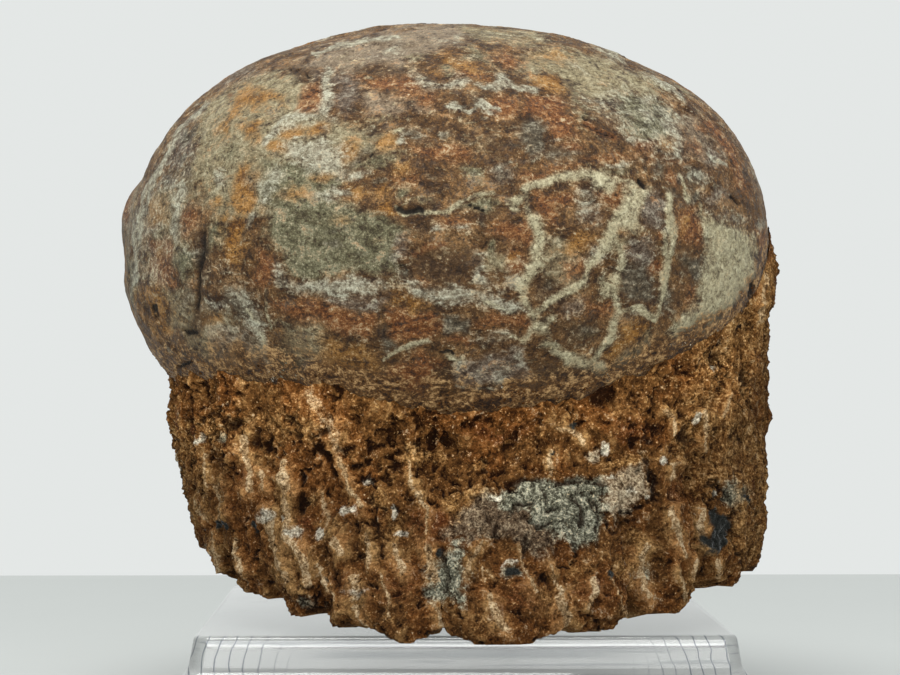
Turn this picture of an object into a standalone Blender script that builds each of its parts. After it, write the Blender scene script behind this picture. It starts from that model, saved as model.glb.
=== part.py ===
# A fossil dinosaur egg, half freed from its block of red mudstone, resting on a clear acrylic
# stand.  Blender 4.5, metres, +Z up.  The origin is the centre of the stand's underside and
# -Y is the side that is shown.  Angles round the block are in degrees, 0 at -Y and 90 at +X.
import math

import bmesh
import bpy
from mathutils import Vector, noise

MM = 0.001

# Stand: a 6 mm slab with polished edges that runs out into a wider foot.
SLAB_WIDTH = 100 * MM
SLAB_THICK = 6 * MM
FOOT_SPREAD = 7 * MM        # how far the foot stands out past the slab on each side
FOOT_RISE = 9 * MM          # height of the sloping sides between foot and slab
FOOT_LIP = 5 * MM           # height of the foot's upright edge
SLAB_DRAFT = 1 * MM         # how much the slab's polished sides lean out
EDGE_ROUND = 1 * MM
CORNER_ROUND = 3 * MM
STAND_HEIGHT = SLAB_THICK + FOOT_RISE + FOOT_LIP

# Egg: a sphere flattened by the weight of the sediment above it.
EGG_CENTRE = Vector((-2.7 * MM, 0, STAND_HEIGHT + 72.2 * MM))
EGG_HALF = Vector((65.4 * MM, 61.5 * MM, 46.0 * MM))
EGG_SQUARENESS = 2.25       # 2 is an ellipsoid, more is fuller at the shoulders
EGG_SEGMENTS = 56
EGG_RINGS = 26
PLATE_SIZE = 17 * MM        # pieces of cracked shell
PLATE_STEP = 0.5 * MM       # how far one piece sits above the next

# Broad dents (-) and swellings (+) of the shell: angle round, angle up, spread in degrees, height.
EGG_DENTS = (
    (-90, -30, 14, -1.1 * MM),
    (-90, -10, 12, 1.0 * MM),
    (-90, -6, 5, 0.8 * MM),
    (-90, -18, 9, -1.7 * MM),
    (-90, 8, 7, 2.3 * MM),
    (-91, 22, 10, -2.1 * MM),
    (-90, 16, 6, -1.2 * MM),
    (-92, 36, 12, 0.9 * MM),
    (85, 70, 15, 0.6 * MM),
    (84, 34, 12, 0.8 * MM),
    (86, 18, 12, 0.5 * MM),
    (-8, -22, 22, 0.8 * MM),
    (-40, 8, 15, 0.8 * MM),
    (32, 6, 14, 0.8 * MM),
    (36, 36, 13, -0.8 * MM),
    (150, 34, 24, 1.0 * MM),
    (180, 0, 26, 1.0 * MM),
    (215, 34, 20, -0.8 * MM),
)

# Mudstone block: radius of the foot, height of the foot, radius half way up, height of the edge
# against the shell and width of the ledge there, at every 30 degrees from 0, in millimetres.
# Heights are above the stand.
BLOCK_AXIS = Vector((-1 * MM, 0, 0))
BLOCK_FOOT_RADIUS = (69.5, 65, 60.5, 60.8, 60, 58, 57, 56, 53, 49.5, 53, 60)
BLOCK_FOOT_HEIGHT = (-0.6, 2.0, 6.6, 7.6, 5.8, 3.2, 2.6, 3.6, 6.6, 8.8, 8.0, 3.6)
BLOCK_WAIST_RADIUS = (58, 59, 62, 63.7, 62.5, 60.5, 58, 57.5, 57, 56.3, 57, 57.5)
BLOCK_EDGE_HEIGHT = (41, 45.5, 58.5, 79, 77, 66, 57, 52, 49.5, 47.5, 46.5, 43.5)
BLOCK_LEDGE = (0.8, 0.8, 1.0, 2.4, 2.2, 1.4, 1.2, 1.2, 1.0, 0.8, 0.8, 0.8)
WALL_LEAST = 1.6 * MM       # the block is at least this thick outside the shell
FLAT_RADIUS = 33 * MM       # flat patch under the block, on which it rests
REST_GAP = 0.3 * MM
SHELL_GAP = 0.3 * MM

# Notches where tool cuts run out through the foot of the block, by angle, each with its share of
# the depth.  Between them the foot stands out in lobes.
NOTCHES = {
    -69: 0.6, -46: 0.7, -26.5: 1.0, -3.5: 1.1, 16: 0.7, 27.7: 1.9, 45: 2.2, 70: 0.9,
    97: 0.8, 118: 1.0, 140: 0.7, 163: 1.0, 186: 0.8, 208: 1.0, 231: 0.7, 259: 0.8,
}
NOTCH_DEPTH = 3.4 * MM
NOTCH_LIFT = 3.0 * MM

# Tool cuts down the sides: scoops with a sharp ridge between each two.
CUT_COUNT = 36
CUT_DEPTH = 1.3 * MM
CUT_WANDER = 3.2            # degrees that a cut leans from the upright

# Hollows: angle round, height above the stand, half width and half height, depth.
HOLLOWS = (
    (-4, 32, 20 * MM, 7.5 * MM, 4.0 * MM),
    (24, 32, 14 * MM, 6.5 * MM, 3.0 * MM),
    (-10.5, 18, 3.6 * MM, 6.5 * MM, 3.2 * MM),
    (36, 13, 4.2 * MM, 7.0 * MM, 3.4 * MM),
    (49, 27, 3.6 * MM, 5.5 * MM, 2.4 * MM),
    (70, 12, 5.0 * MM, 6.0 * MM, 2.6 * MM),
    (-42, 33, 5.5 * MM, 5.0 * MM, 2.0 * MM),
    (-26, 24, 5.0 * MM, 6.5 * MM, 1.8 * MM),
    (120, 30, 11 * MM, 8.0 * MM, 3.0 * MM),
    (158, 20, 8 * MM, 7.0 * MM, 2.6 * MM),
    (196, 30, 9 * MM, 8.0 * MM, 2.8 * MM),
    (236, 22, 8 * MM, 7.0 * MM, 2.4 * MM),
)
BLOCK_COLUMNS = 144
UNDER_RINGS = 3
SIDE_RINGS = 13
CAP_RINGS = 2

SLIVER = 0.05 * MM

COLOURS = {
    "shell": ((0.27, 0.19, 0.13, 1), 0.55),
    "mudstone": ((0.20, 0.10, 0.05, 1), 0.9),
    "acrylic": ((0.93, 0.95, 0.94, 1), 0.05),
}


def clear_scene():
    for obj in list(bpy.data.objects):
        bpy.data.objects.remove(obj, do_unlink=True)


def make_material(name):
    colour, roughness = COLOURS[name]
    material = bpy.data.materials.new(name)
    material.use_nodes = True
    shader = material.node_tree.nodes["Principled BSDF"]
    shader.inputs["Base Color"].default_value = colour
    shader.inputs["Roughness"].default_value = roughness
    shader.inputs["Metallic"].default_value = 0.0
    if name == "acrylic":
        shader.inputs["Transmission Weight"].default_value = 1.0
        shader.inputs["IOR"].default_value = 1.49
    return material


def new_object(name, mesh, collection, material=None):
    obj = bpy.data.objects.new(name, mesh)
    collection.objects.link(obj)
    if material:
        mesh.materials.append(material)
    return obj


def from_bmesh(bm, name):
    mesh = bpy.data.meshes.new(name)
    bmesh.ops.recalc_face_normals(bm, faces=bm.faces)
    bm.to_mesh(mesh)
    bm.free()
    return mesh


def weld(obj):
    """Closes up the slivers that a cut or a bevel leaves behind."""
    modifier = obj.modifiers.new("close slivers", "WELD")
    modifier.merge_threshold = SLIVER


def around(values, angle):
    """The ring of values, one for each equal step from 0 degrees, eased between its two
    nearest by a Catmull-Rom curve."""
    place = (angle % 360) / 360 * len(values)
    i = int(place)
    t = place - i
    a, b, c, d = (values[(i + k) % len(values)] for k in (-1, 0, 1, 2))
    return b + 0.5 * t * (c - a + t * (2 * a - 5 * b + 4 * c - d + t * (3 * (b - c) + d - a)))


def angle_between(a, b):
    return abs((a - b + 180) % 360 - 180)


def bell(distance):
    return math.exp(-distance * distance)


# ---- egg -------------------------------------------------------------------------------------

def plate_height(point):
    """Each piece of shell is set a little in or out, with its edges worn smooth."""
    distances, centres = noise.voronoi(point / PLATE_SIZE)
    share = [noise.cell(c * 7.3) for c in centres[:2]]
    edge = min(1.0, (distances[1] - distances[0]) / 0.35)
    mean = (share[0] + share[1]) / 2
    return PLATE_STEP * (mean + (share[0] - mean) * edge - 0.5)


def egg_point(direction, outwards=0.0):
    """Where the shell's surface lies along a unit vector from the egg's centre."""
    level = math.hypot(direction.x / EGG_HALF.x, direction.y / EGG_HALF.y)
    upright = abs(direction.z) / EGG_HALF.z
    reach = (level ** EGG_SQUARENESS + upright ** EGG_SQUARENESS) ** (-1 / EGG_SQUARENESS)
    turn = math.degrees(math.atan2(direction.x, -direction.y))
    rise = math.degrees(math.asin(max(-1.0, min(1.0, direction.z))))
    for centre_turn, centre_rise, spread, height in EGG_DENTS:
        sideways = angle_between(turn, centre_turn) * math.cos(math.radians(rise))
        reach += height * bell(math.hypot(sideways, rise - centre_rise) / spread)
    point = direction * reach
    reach += plate_height(point) + 0.5 * MM * noise.noise(point / (24 * MM))
    return EGG_CENTRE + direction * (reach + outwards)


def egg_mesh(name, outwards=0.0):
    bm = bmesh.new()
    bmesh.ops.create_uvsphere(bm, u_segments=EGG_SEGMENTS, v_segments=EGG_RINGS, radius=1)
    for vert in bm.verts:
        vert.co = egg_point(vert.co.normalized(), outwards)
    return from_bmesh(bm, name)


def make_egg(collection):
    mesh = egg_mesh("egg")
    mesh.shade_smooth()
    return new_object("egg", mesh, collection, make_material("shell"))


# ---- mudstone block --------------------------------------------------------------------------

def lobe(angle):
    """1 in the middle of the lobe between two notches, less towards each of them."""
    marks = sorted((turn + 360 * k, depth) for turn, depth in NOTCHES.items() for k in (-1, 0, 1))
    for (low, low_depth), (high, high_depth) in zip(marks, marks[1:]):
        if low <= angle <= high:
            along = (angle - low) / (high - low)
            depth = low_depth if along < 0.5 else high_depth
            return 1 - depth * (1 - math.sin(math.pi * along) ** 0.7)
    return 1.0


def scoop(angle, height):
    """Depth of the tool cuts: nothing on a ridge, most in the middle of a cut."""
    lean = CUT_WANDER * noise.noise(Vector((angle / 40, height / (30 * MM), 4.1)))
    place = (angle + lean) / 360 * CUT_COUNT
    middle = abs(math.sin(math.pi * place))
    strength = 0.55 + 0.9 * noise.noise(Vector((math.floor(place) * 1.7, height / (22 * MM), 9)))
    return CUT_DEPTH * middle * max(0.15, strength)


def shell_direction(angle, height):
    """The direction from the egg's centre in which its surface is at this height."""
    radians = math.radians(angle)
    low, high = -1.5, 1.5
    for _ in range(24):
        rise = (low + high) / 2
        direction = Vector((math.sin(radians), -math.cos(radians), math.tan(rise))).normalized()
        if egg_point(direction).z < height:
            low = rise
        else:
            high = rise
    return direction


def edge_point(angle):
    """Where the block's upper edge meets the shell."""
    height = STAND_HEIGHT + around(BLOCK_EDGE_HEIGHT, angle) * MM
    return egg_point(shell_direction(angle, height), around(BLOCK_LEDGE, angle) * MM)


def side_point(angle, up):
    """A point of the block's side: up is 0 at the foot and 1 at the edge against the shell."""
    radians = math.radians(angle)
    outward = Vector((math.sin(radians), -math.cos(radians), 0))
    edge = edge_point(angle)
    edge_radius = (edge - BLOCK_AXIS).dot(outward)
    lobed = lobe(angle)
    foot_height = around(BLOCK_FOOT_HEIGHT, angle) * MM + NOTCH_LIFT * (1 - lobed)
    foot = STAND_HEIGHT + foot_height
    foot_radius = around(BLOCK_FOOT_RADIUS, angle) * MM
    waist = around(BLOCK_WAIST_RADIUS, angle) * MM
    height = foot + (edge.z - foot) * up
    # A parabola through the three radii, rounded in at the foot.
    bend = 2 * (foot_radius + edge_radius) - 4 * waist
    radius = foot_radius + (edge_radius - foot_radius - bend) * up + bend * up * up
    radius -= 2.2 * MM * max(0.0, 1 - up / 0.16) ** 2
    fade = min(1.0, (1 - up) / 0.12)
    radius -= NOTCH_DEPTH * (1 - lobed) * max(0.0, 1 - up * 1.25)
    radius -= scoop(angle, height) * fade * (1 - 0.35 * up)
    for turn, rise, half_wide, half_high, depth in HOLLOWS:
        sideways = radius * math.sin(math.radians(angle_between(angle, turn))) / half_wide
        upwards = (height - STAND_HEIGHT - rise * MM) / half_high
        radius -= depth * bell(math.hypot(sideways, upwards)) * fade
    point = BLOCK_AXIS + outward * radius + Vector((0, 0, height))
    radius += 0.7 * MM * fade * noise.fractal(point / (9 * MM), 0.9, 2.1, 3)
    if height > EGG_CENTRE.z - EGG_HALF.z + 2 * MM:
        shell = egg_point(shell_direction(angle, height))
        radius = max(radius, (shell - BLOCK_AXIS).dot(outward) + WALL_LEAST * fade)
    return BLOCK_AXIS + outward * radius + Vector((0, 0, height))


def under_point(angle, out):
    """A point of the underside: out is 0 on the axis and 1 at the foot."""
    foot = side_point(angle, 0)
    floor = STAND_HEIGHT + REST_GAP
    level = Vector((foot.x - BLOCK_AXIS.x, foot.y - BLOCK_AXIS.y, 0))
    reach = level.length * out
    past = max(0.0, (reach - FLAT_RADIUS) / (level.length - FLAT_RADIUS))
    spot = BLOCK_AXIS + level.normalized() * reach
    return Vector((spot.x, spot.y, floor + (foot.z - floor) * past ** 3))


def cap_point(angle, inwards):
    """The top of the uncut block runs from its edge to the egg's centre, inside the egg."""
    return side_point(angle, 1).lerp(EGG_CENTRE, inwards)


def block_point(ring, angle):
    if ring <= UNDER_RINGS:
        return under_point(angle, ring / UNDER_RINGS)
    ring -= UNDER_RINGS
    if ring <= SIDE_RINGS:
        return side_point(angle, ring / SIDE_RINGS)
    return cap_point(angle, (ring - SIDE_RINGS) / (CAP_RINGS + 1))


def block_mesh():
    """A sphere with as many rings as the block needs, each moved onto the block's surface."""
    rings = UNDER_RINGS + SIDE_RINGS + CAP_RINGS + 1
    bm = bmesh.new()
    bmesh.ops.create_uvsphere(bm, u_segments=BLOCK_COLUMNS, v_segments=rings, radius=1)
    for vert in bm.verts:
        ring = round((math.asin(max(-1.0, min(1.0, vert.co.z))) / math.pi + 0.5) * rings)
        if ring == 0:
            vert.co = BLOCK_AXIS + Vector((0, 0, STAND_HEIGHT + REST_GAP))
        elif ring == rings:
            vert.co = EGG_CENTRE
        else:
            turn = math.degrees(math.atan2(vert.co.x, -vert.co.y))
            vert.co = block_point(ring, turn)
    bmesh.ops.triangulate(bm, faces=bm.faces)
    return from_bmesh(bm, "matrix")


def make_block(collection, cutters):
    block = new_object("matrix", block_mesh(), collection, make_material("mudstone"))
    cutter = new_object("egg_socket", egg_mesh("egg_socket", SHELL_GAP), cutters)
    cutter.hide_render = True
    cutter.display_type = "WIRE"
    cut = block.modifiers.new("socket", "BOOLEAN")
    cut.operation = "DIFFERENCE"
    cut.object = cutter
    return block


# ---- stand -----------------------------------------------------------------------------------

def make_stand(collection):
    """A rounded square, drawn up through the foot's lip, its slope and the slab."""
    half_foot = SLAB_WIDTH / 2 + SLAB_DRAFT + FOOT_SPREAD
    half_slab = half_foot - FOOT_SPREAD
    bm = bmesh.new()
    bmesh.ops.create_grid(bm, x_segments=1, y_segments=1, size=half_foot)
    bmesh.ops.bevel(
        bm, geom=bm.verts[:], offset=CORNER_ROUND, segments=3, profile=0.5, affect="VERTICES"
    )
    bottom = bm.faces[:]
    top = bottom
    steps = (
        (FOOT_LIP, 1),
        (FOOT_RISE, half_slab / half_foot),
        (SLAB_THICK, (half_slab - SLAB_DRAFT) / half_slab),
    )
    for rise, narrowing in steps:
        made = bmesh.ops.extrude_face_region(bm, geom=top)["geom"]
        verts = [v for v in made if isinstance(v, bmesh.types.BMVert)]
        if top is not bottom:
            bmesh.ops.delete(bm, geom=top, context="FACES_ONLY")
        top = [f for f in made if isinstance(f, bmesh.types.BMFace)]
        bmesh.ops.translate(bm, vec=(0, 0, rise), verts=verts)
        bmesh.ops.scale(bm, vec=(narrowing, narrowing, 1), verts=verts)
    stand = new_object("stand", from_bmesh(bm, "stand"), collection, make_material("acrylic"))
    bevel = stand.modifiers.new("polished edges", "BEVEL")
    bevel.width = EDGE_ROUND
    bevel.segments = 2
    bevel.limit_method = "ANGLE"
    bevel.angle_limit = math.radians(26)
    weld(stand)
    return stand


def main():
    clear_scene()
    parts = bpy.data.collections.new("fossil dinosaur egg")
    cutters = bpy.data.collections.new("cutters")
    bpy.context.scene.collection.children.link(parts)
    bpy.context.scene.collection.children.link(cutters)
    make_egg(parts)
    make_block(parts, cutters)
    make_stand(parts)


main()
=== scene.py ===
import math

import bmesh
import bpy
import numpy as np
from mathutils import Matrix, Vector, noise


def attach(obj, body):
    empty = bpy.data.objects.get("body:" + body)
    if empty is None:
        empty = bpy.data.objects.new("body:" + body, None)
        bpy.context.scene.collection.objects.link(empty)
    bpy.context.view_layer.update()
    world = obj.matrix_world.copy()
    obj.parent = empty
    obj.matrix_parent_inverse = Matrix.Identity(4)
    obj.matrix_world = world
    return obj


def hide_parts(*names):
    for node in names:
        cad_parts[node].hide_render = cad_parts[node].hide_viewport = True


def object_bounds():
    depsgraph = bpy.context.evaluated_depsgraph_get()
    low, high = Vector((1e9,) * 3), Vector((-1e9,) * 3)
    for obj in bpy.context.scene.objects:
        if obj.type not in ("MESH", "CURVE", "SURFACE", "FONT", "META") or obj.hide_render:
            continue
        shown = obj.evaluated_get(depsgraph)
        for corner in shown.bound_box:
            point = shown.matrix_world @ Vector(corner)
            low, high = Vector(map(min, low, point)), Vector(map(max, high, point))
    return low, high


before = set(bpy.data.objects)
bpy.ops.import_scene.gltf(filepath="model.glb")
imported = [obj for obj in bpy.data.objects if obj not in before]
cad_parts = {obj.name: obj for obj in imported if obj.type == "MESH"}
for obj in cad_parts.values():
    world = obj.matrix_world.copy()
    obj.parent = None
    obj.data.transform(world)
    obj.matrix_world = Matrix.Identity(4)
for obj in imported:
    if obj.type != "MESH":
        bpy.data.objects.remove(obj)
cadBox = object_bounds()

# Shapes are worked out in millimetres, in the frame of the stand: its underside's centre is the
# origin and -Y is the side that is shown. Angles round the piece are 0 at -Y and 90 at +X.
mm = 0.001


def meshFrom(name, points, faces, smoothShaded=True):
    mesh = bpy.data.meshes.new(name)
    mesh.from_pydata((np.asarray(points) * mm).tolist(), [], faces)
    mesh.update()
    if smoothShaded:
        mesh.shade_smooth()
    obj = bpy.data.objects.new(name, mesh)
    bpy.context.scene.collection.objects.link(obj)
    return obj


# form of the stand

standValues = {
    "slabWidth": 100,       # across its lower edge, without the lean of its sides
    "slabThick": 6,
    "slabDraft": 1,         # how much the polished sides lean out
    "footSpread": 7,
    "footRise": 9,
    "footLip": 5,
    "edgeRound": 0.8,
    "cornerRound": 3,
}
standTop = standValues["slabThick"] + standValues["footRise"] + standValues["footLip"]


def roundedSquare(half, corner, height):
    # counter-clockwise, with a quarter circle at each corner
    middle = (half - corner) * math.sqrt(2)
    points = []
    for start in range(0, 360, 90):
        diagonal = math.radians(start) + math.pi / 4
        cx = middle * math.cos(diagonal)
        cy = middle * math.sin(diagonal)
        for turn in range(0, 91, 9):
            a = math.radians(start) + math.radians(turn)
            points.append((cx + corner * math.cos(a), cy + corner * math.sin(a), height))
    return points


def makeStand():
    # a rounded square drawn up through the foot's lip, its slope and the slab
    values = standValues
    halfSlab = values["slabWidth"] / 2 + values["slabDraft"]
    halfFoot = halfSlab + values["footSpread"]
    levels = (
        (0, halfFoot),
        (values["footLip"], halfFoot),
        (values["footLip"] + values["footRise"], halfSlab),
        (standTop, halfSlab - values["slabDraft"]),
    )
    rings = [roundedSquare(half, values["cornerRound"], height) for height, half in levels]
    count = len(rings[0])
    faces = [tuple(reversed(range(count))), tuple(3 * count + i for i in range(count))]
    for level in range(3):
        low = level * count
        high = low + count
        for i in range(count):
            j = (i + 1) % count
            faces.append((low + i, low + j, high + j, high + i))
    obj = meshFrom("acrylicStand", sum(rings, []), faces, False)
    bevel = obj.modifiers.new("polished edges", "BEVEL")
    bevel.width = values["edgeRound"] * mm
    bevel.segments = 4
    bevel.limit_method = "ANGLE"
    bevel.angle_limit = math.radians(26)
    graph = bpy.context.evaluated_depsgraph_get()
    obj.data = bpy.data.meshes.new_from_object(obj.evaluated_get(graph), depsgraph=graph)
    obj.modifiers.clear()
    obj.data.shade_smooth()
    obj.data.set_sharp_from_angle(angle=math.radians(20))
    # light passes on to the table beneath
    obj.visible_shadow = False
    obj.visible_diffuse = False
    return obj


# marks on the front are set out as seen from here, and the camera stands here
eyePlace = np.array((-9.9, -483.0, 70.8))


# noise and easing, on whole arrays of points

def smooth(values, low, high):
    t = np.clip((values - low) / (high - low), 0, 1)
    return t * t * (3 - 2 * t)


def noiseAt(points, size, seed=0.0):
    return np.array([noise.noise(p) for p in (points / size + seed).tolist()])


def roughAt(points, size, octaves=4, seed=0.0, fall=0.9):
    cells = (points / size + seed).tolist()
    return np.array([noise.fractal(p, fall, 2.1, octaves) for p in cells])


def cellsAt(points, size, seed=0.0):
    # distance to the nearest and the next cell centre, and a random number of the nearest cell
    near, following, number = [], [], []
    for p in (points / size + seed).tolist():
        distances, centres = noise.voronoi(p)
        near.append(distances[0])
        following.append(distances[1])
        number.append(noise.cell(centres[0] * 7.3))
    return np.array(near), np.array(following), np.array(number)


def angleBetween(a, b):
    return np.abs((a - b + 180) % 360 - 180)


def bell(distance):
    return np.exp(-distance * distance)


def around(values, angle):
    # a ring of values at equal steps from 0 degrees, eased from each to the next
    values = np.array(values, float)
    place = (angle % 360) / 360 * len(values)
    i = np.floor(place).astype(int)
    t = place - i
    a, b, c, d = (values[(i + k) % len(values)] for k in (-1, 0, 1, 2))
    return b + 0.5 * t * (c - a + t * (2 * a - 5 * b + 4 * c - d + t * (3 * (b - c) + d - a)))


# form of the egg

eggValues = {
    "centre": (-2.7, 0, standTop + 72.2),
    "half": (65.4, 61.5, 46.0),
    "squareness": 2.25,
    "plateSize": 17,        # pieces of cracked shell
    "plateStep": 0.5,
    "broadWaver": 0.5,      # 24 mm across
    # broad dents (-) and swellings (+): angle round, angle up, spread in degrees, height
    "dents": (
        (-90, -30, 14, -1.1), (-90, -10, 12, 1.0), (-90, -6, 5, 0.8), (-90, -18, 9, -1.7),
        (-90, 8, 7, 2.3), (-91, 22, 10, -2.1), (-90, 16, 6, -1.2), (-92, 36, 12, 0.9),
        (85, 70, 15, 0.6), (84, 34, 12, 0.8), (86, 18, 12, 0.5), (-8, -22, 22, 0.8),
        (-40, 8, 15, 0.8), (32, 6, 14, 0.8), (36, 36, 13, -0.8), (150, 34, 24, 1.0),
        (180, 0, 26, 1.0), (215, 34, 20, -0.8),
    ),
    "fineness": 7,          # subdivisions of the icosphere
    "waver": 0.28,          # low relief of the shell, 7 mm across
    "grain": 0.07,
    "chip": 0.16,
    "chipSize": 2.4,
    "creamHeight": 0.16,    # veins stand proud and dark patches lie lower
    "whiteHeight": 0.08,
    "slateDepth": 0.14,
    "umberDepth": 0.12,
    "slitDepth": 0.6,
    "slitWidth": 0.75,      # share of the width drawn
    "setIn": 0.1,
    "dustReach": 7.5,       # how far stone dust climbs the shell from the block's edge
    "veinSize": 19,         # pale veins on the sides that the paint doesn't reach
}
eggCentre = np.array(eggValues["centre"])


def eggReach(directions):
    halfX, halfY, halfZ = eggValues["half"]
    dx, dy, dz = directions.T
    level = np.hypot(dx / halfX, dy / halfY)
    upright = np.abs(dz) / halfZ
    q = eggValues["squareness"]
    reach = (level ** q + upright ** q) ** (-1 / q)
    turn = np.degrees(np.arctan2(dx, -dy))
    rise = np.degrees(np.arcsin(np.clip(dz, -1, 1)))
    for dentTurn, dentRise, spread, height in eggValues["dents"]:
        sideways = angleBetween(turn, dentTurn) * np.cos(np.radians(rise))
        reach = reach + height * bell(np.hypot(sideways, rise - dentRise) / spread)
    return reach


def plateHeight(points):
    # each piece of cracked shell is set a little in or out, its edges worn smooth
    heights = []
    for p in (points / eggValues["plateSize"]).tolist():
        distances, centres = noise.voronoi(p)
        first, second = (noise.cell(c * 7.3) for c in centres[:2])
        edge = min(1.0, (distances[1] - distances[0]) / 0.35)
        mean = (first + second) / 2
        heights.append(mean + (first - mean) * edge - 0.5)
    return eggValues["plateStep"] * np.array(heights)


def eggSurface(directions, outwards=0.0):
    reach = eggReach(directions)
    points = directions * reach[:, None]
    waver = eggValues["broadWaver"] * noiseAt(points, 24)
    return eggCentre + directions * (reach + plateHeight(points) + waver + outwards)[:, None]


def directionsAt(turn, rise):
    # both in radians: turn round the upright, rise above the level
    level = np.cos(rise)
    return np.column_stack((np.sin(turn) * level, -np.cos(turn) * level, np.sin(rise)))


def shellDirections(angles, heights):
    # directions from the egg's centre in which its surface is at these heights
    turn = np.radians(angles)
    low = np.full(angles.shape, -1.5)
    high = np.full(angles.shape, 1.5)
    for _ in range(22):
        rise = (low + high) / 2
        directions = directionsAt(turn, rise)
        under = eggCentre[2] + directions[:, 2] * eggReach(directions) < heights
        low = np.where(under, rise, low)
        high = np.where(under, high, rise)
    return directions


# form of the mudstone block

blockValues = {
    "axis": (-1, 0, 0),
    # rings of values for every 30 degrees, all in millimetres, heights above the stand
    "footRadius": (68.8, 65, 63.5, 62, 60, 58, 57, 56, 53, 49.5, 53, 60),
    "footHeight": (-0.6, 2.0, 7.6, 8.2, 5.8, 3.2, 2.6, 3.6, 6.6, 8.8, 8.0, 3.6),
    "waistRadius": (58, 59, 62, 63.7, 62.5, 60.5, 58, 57.5, 57, 56.3, 57, 57.5),
    "edgeHeight": (40.5, 45.5, 58.5, 79, 77, 66, 57, 52, 49.5, 47.5, 47.5, 45.8),
    "edgeRagged": 2.1,
    "ledge": 0.12,          # how far the stone stands out from the shell along its edge
    "wallLeast": 1.6,       # thinnest stone outside the shell
    "flatRadius": 31,       # the patch of the underside that rests on the stand
    "restGap": 0.3,
    "shellGap": 0.3,
    "footTuck": 2.2,        # rounding of the foot's lower edge, and its share of the height
    "tuckShare": 0.16,
    # notches where tool cuts run out through the foot: angle and share of the depth
    "notches": {
        -69: 0.9, -56: 0.8, -39: 1.0, -26: 1.1, -17.5: 0.9, -3.5: 1.3, 17.9: 1.1, 32: 1.9, 49.5: 2.4,
        72: 0.7, 97: 0.8, 118: 1.0, 140: 0.7, 163: 1.0, 186: 0.8, 208: 1.0, 231: 0.7, 259: 0.8,
    },
    "notchDepth": 3.4,
    "notchLift": 3.0,
    # upright scoops of the tool, and how far they stray in degrees
    "cutCount": 36,
    "cutDepth": 1.3,
    "cutWander": 3.2,
    # hollows: angle, height above the stand, half width, half height, depth
    "hollows": (
        (-4, 32, 20, 7.5, 4.0), (24, 32, 14, 6.5, 3.0), (-10.5, 18, 3.6, 6.5, 3.2),
        (36, 13, 4.2, 7.0, 3.4), (49, 27, 3.6, 5.5, 2.4), (70, 12, 5.0, 6.0, 2.6),
        (-42, 33, 5.5, 5.0, 2.0), (-26, 24, 5.0, 6.5, 1.8), (120, 30, 11, 8.0, 3.0),
        (158, 20, 8, 7.0, 2.6), (196, 30, 9, 8.0, 2.8), (236, 22, 8, 7.0, 2.4),
    ),
    "columns": 700,
    "sideRows": 110,
    "underRows": 9,
    "socketRows": 11,
    # rough face of the stone, in millimetres
    "lumpSize": 4.2,
    "lumpHeight": 0.95,
    "pitSize": 1.5,
    "pitDepth": 0.9,
    "holeDepth": 1.3,
    "crumbSize": 1.15,
    "crumbHeight": 0.38,
    "ridgeHeight": 1.15,
    "sideRough": 0.9,       # 7 mm across
    "fineRough": 0.42,      # 1.2 mm across
    "fissureDepth": 0.85,
    "fissureSize": 9,
}
blockAxis = np.array(blockValues["axis"], float)


def lobe(angle):
    # 1 in the middle of the lobe between two notches, less towards each of them
    notches = blockValues["notches"]
    marks = sorted((turn + 360 * k, depth) for turn, depth in notches.items() for k in (-1, 0, 1))
    result = np.ones(angle.shape)
    for (low, lowDepth), (high, highDepth) in zip(marks, marks[1:]):
        inside = (angle >= low) & (angle <= high)
        along = np.clip((angle - low) / (high - low), 0, 1)
        depth = np.where(along < 0.5, lowDepth, highDepth)
        result = np.where(inside, 1 - depth * (1 - np.sin(np.pi * along) ** 0.7), result)
    return result


def scoop(angle, height):
    # depth of the tool cuts: nothing on a ridge, most in the middle of a cut
    lean = np.column_stack((angle / 40, height / 30, np.full(angle.shape, 4.1)))
    place = (angle + blockValues["cutWander"] * noiseAt(lean, 1)) / 360 * blockValues["cutCount"]
    middle = np.abs(np.sin(np.pi * place))
    cut = np.column_stack((np.floor(place) * 1.7, height / 22, np.full(angle.shape, 9.0)))
    return blockValues["cutDepth"] * middle * np.maximum(0.15, 0.55 + 0.9 * noiseAt(cut, 1))


def outwardOf(angle):
    turn = np.radians(angle)
    return np.column_stack((np.sin(turn), -np.cos(turn), np.zeros(angle.shape)))


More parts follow.
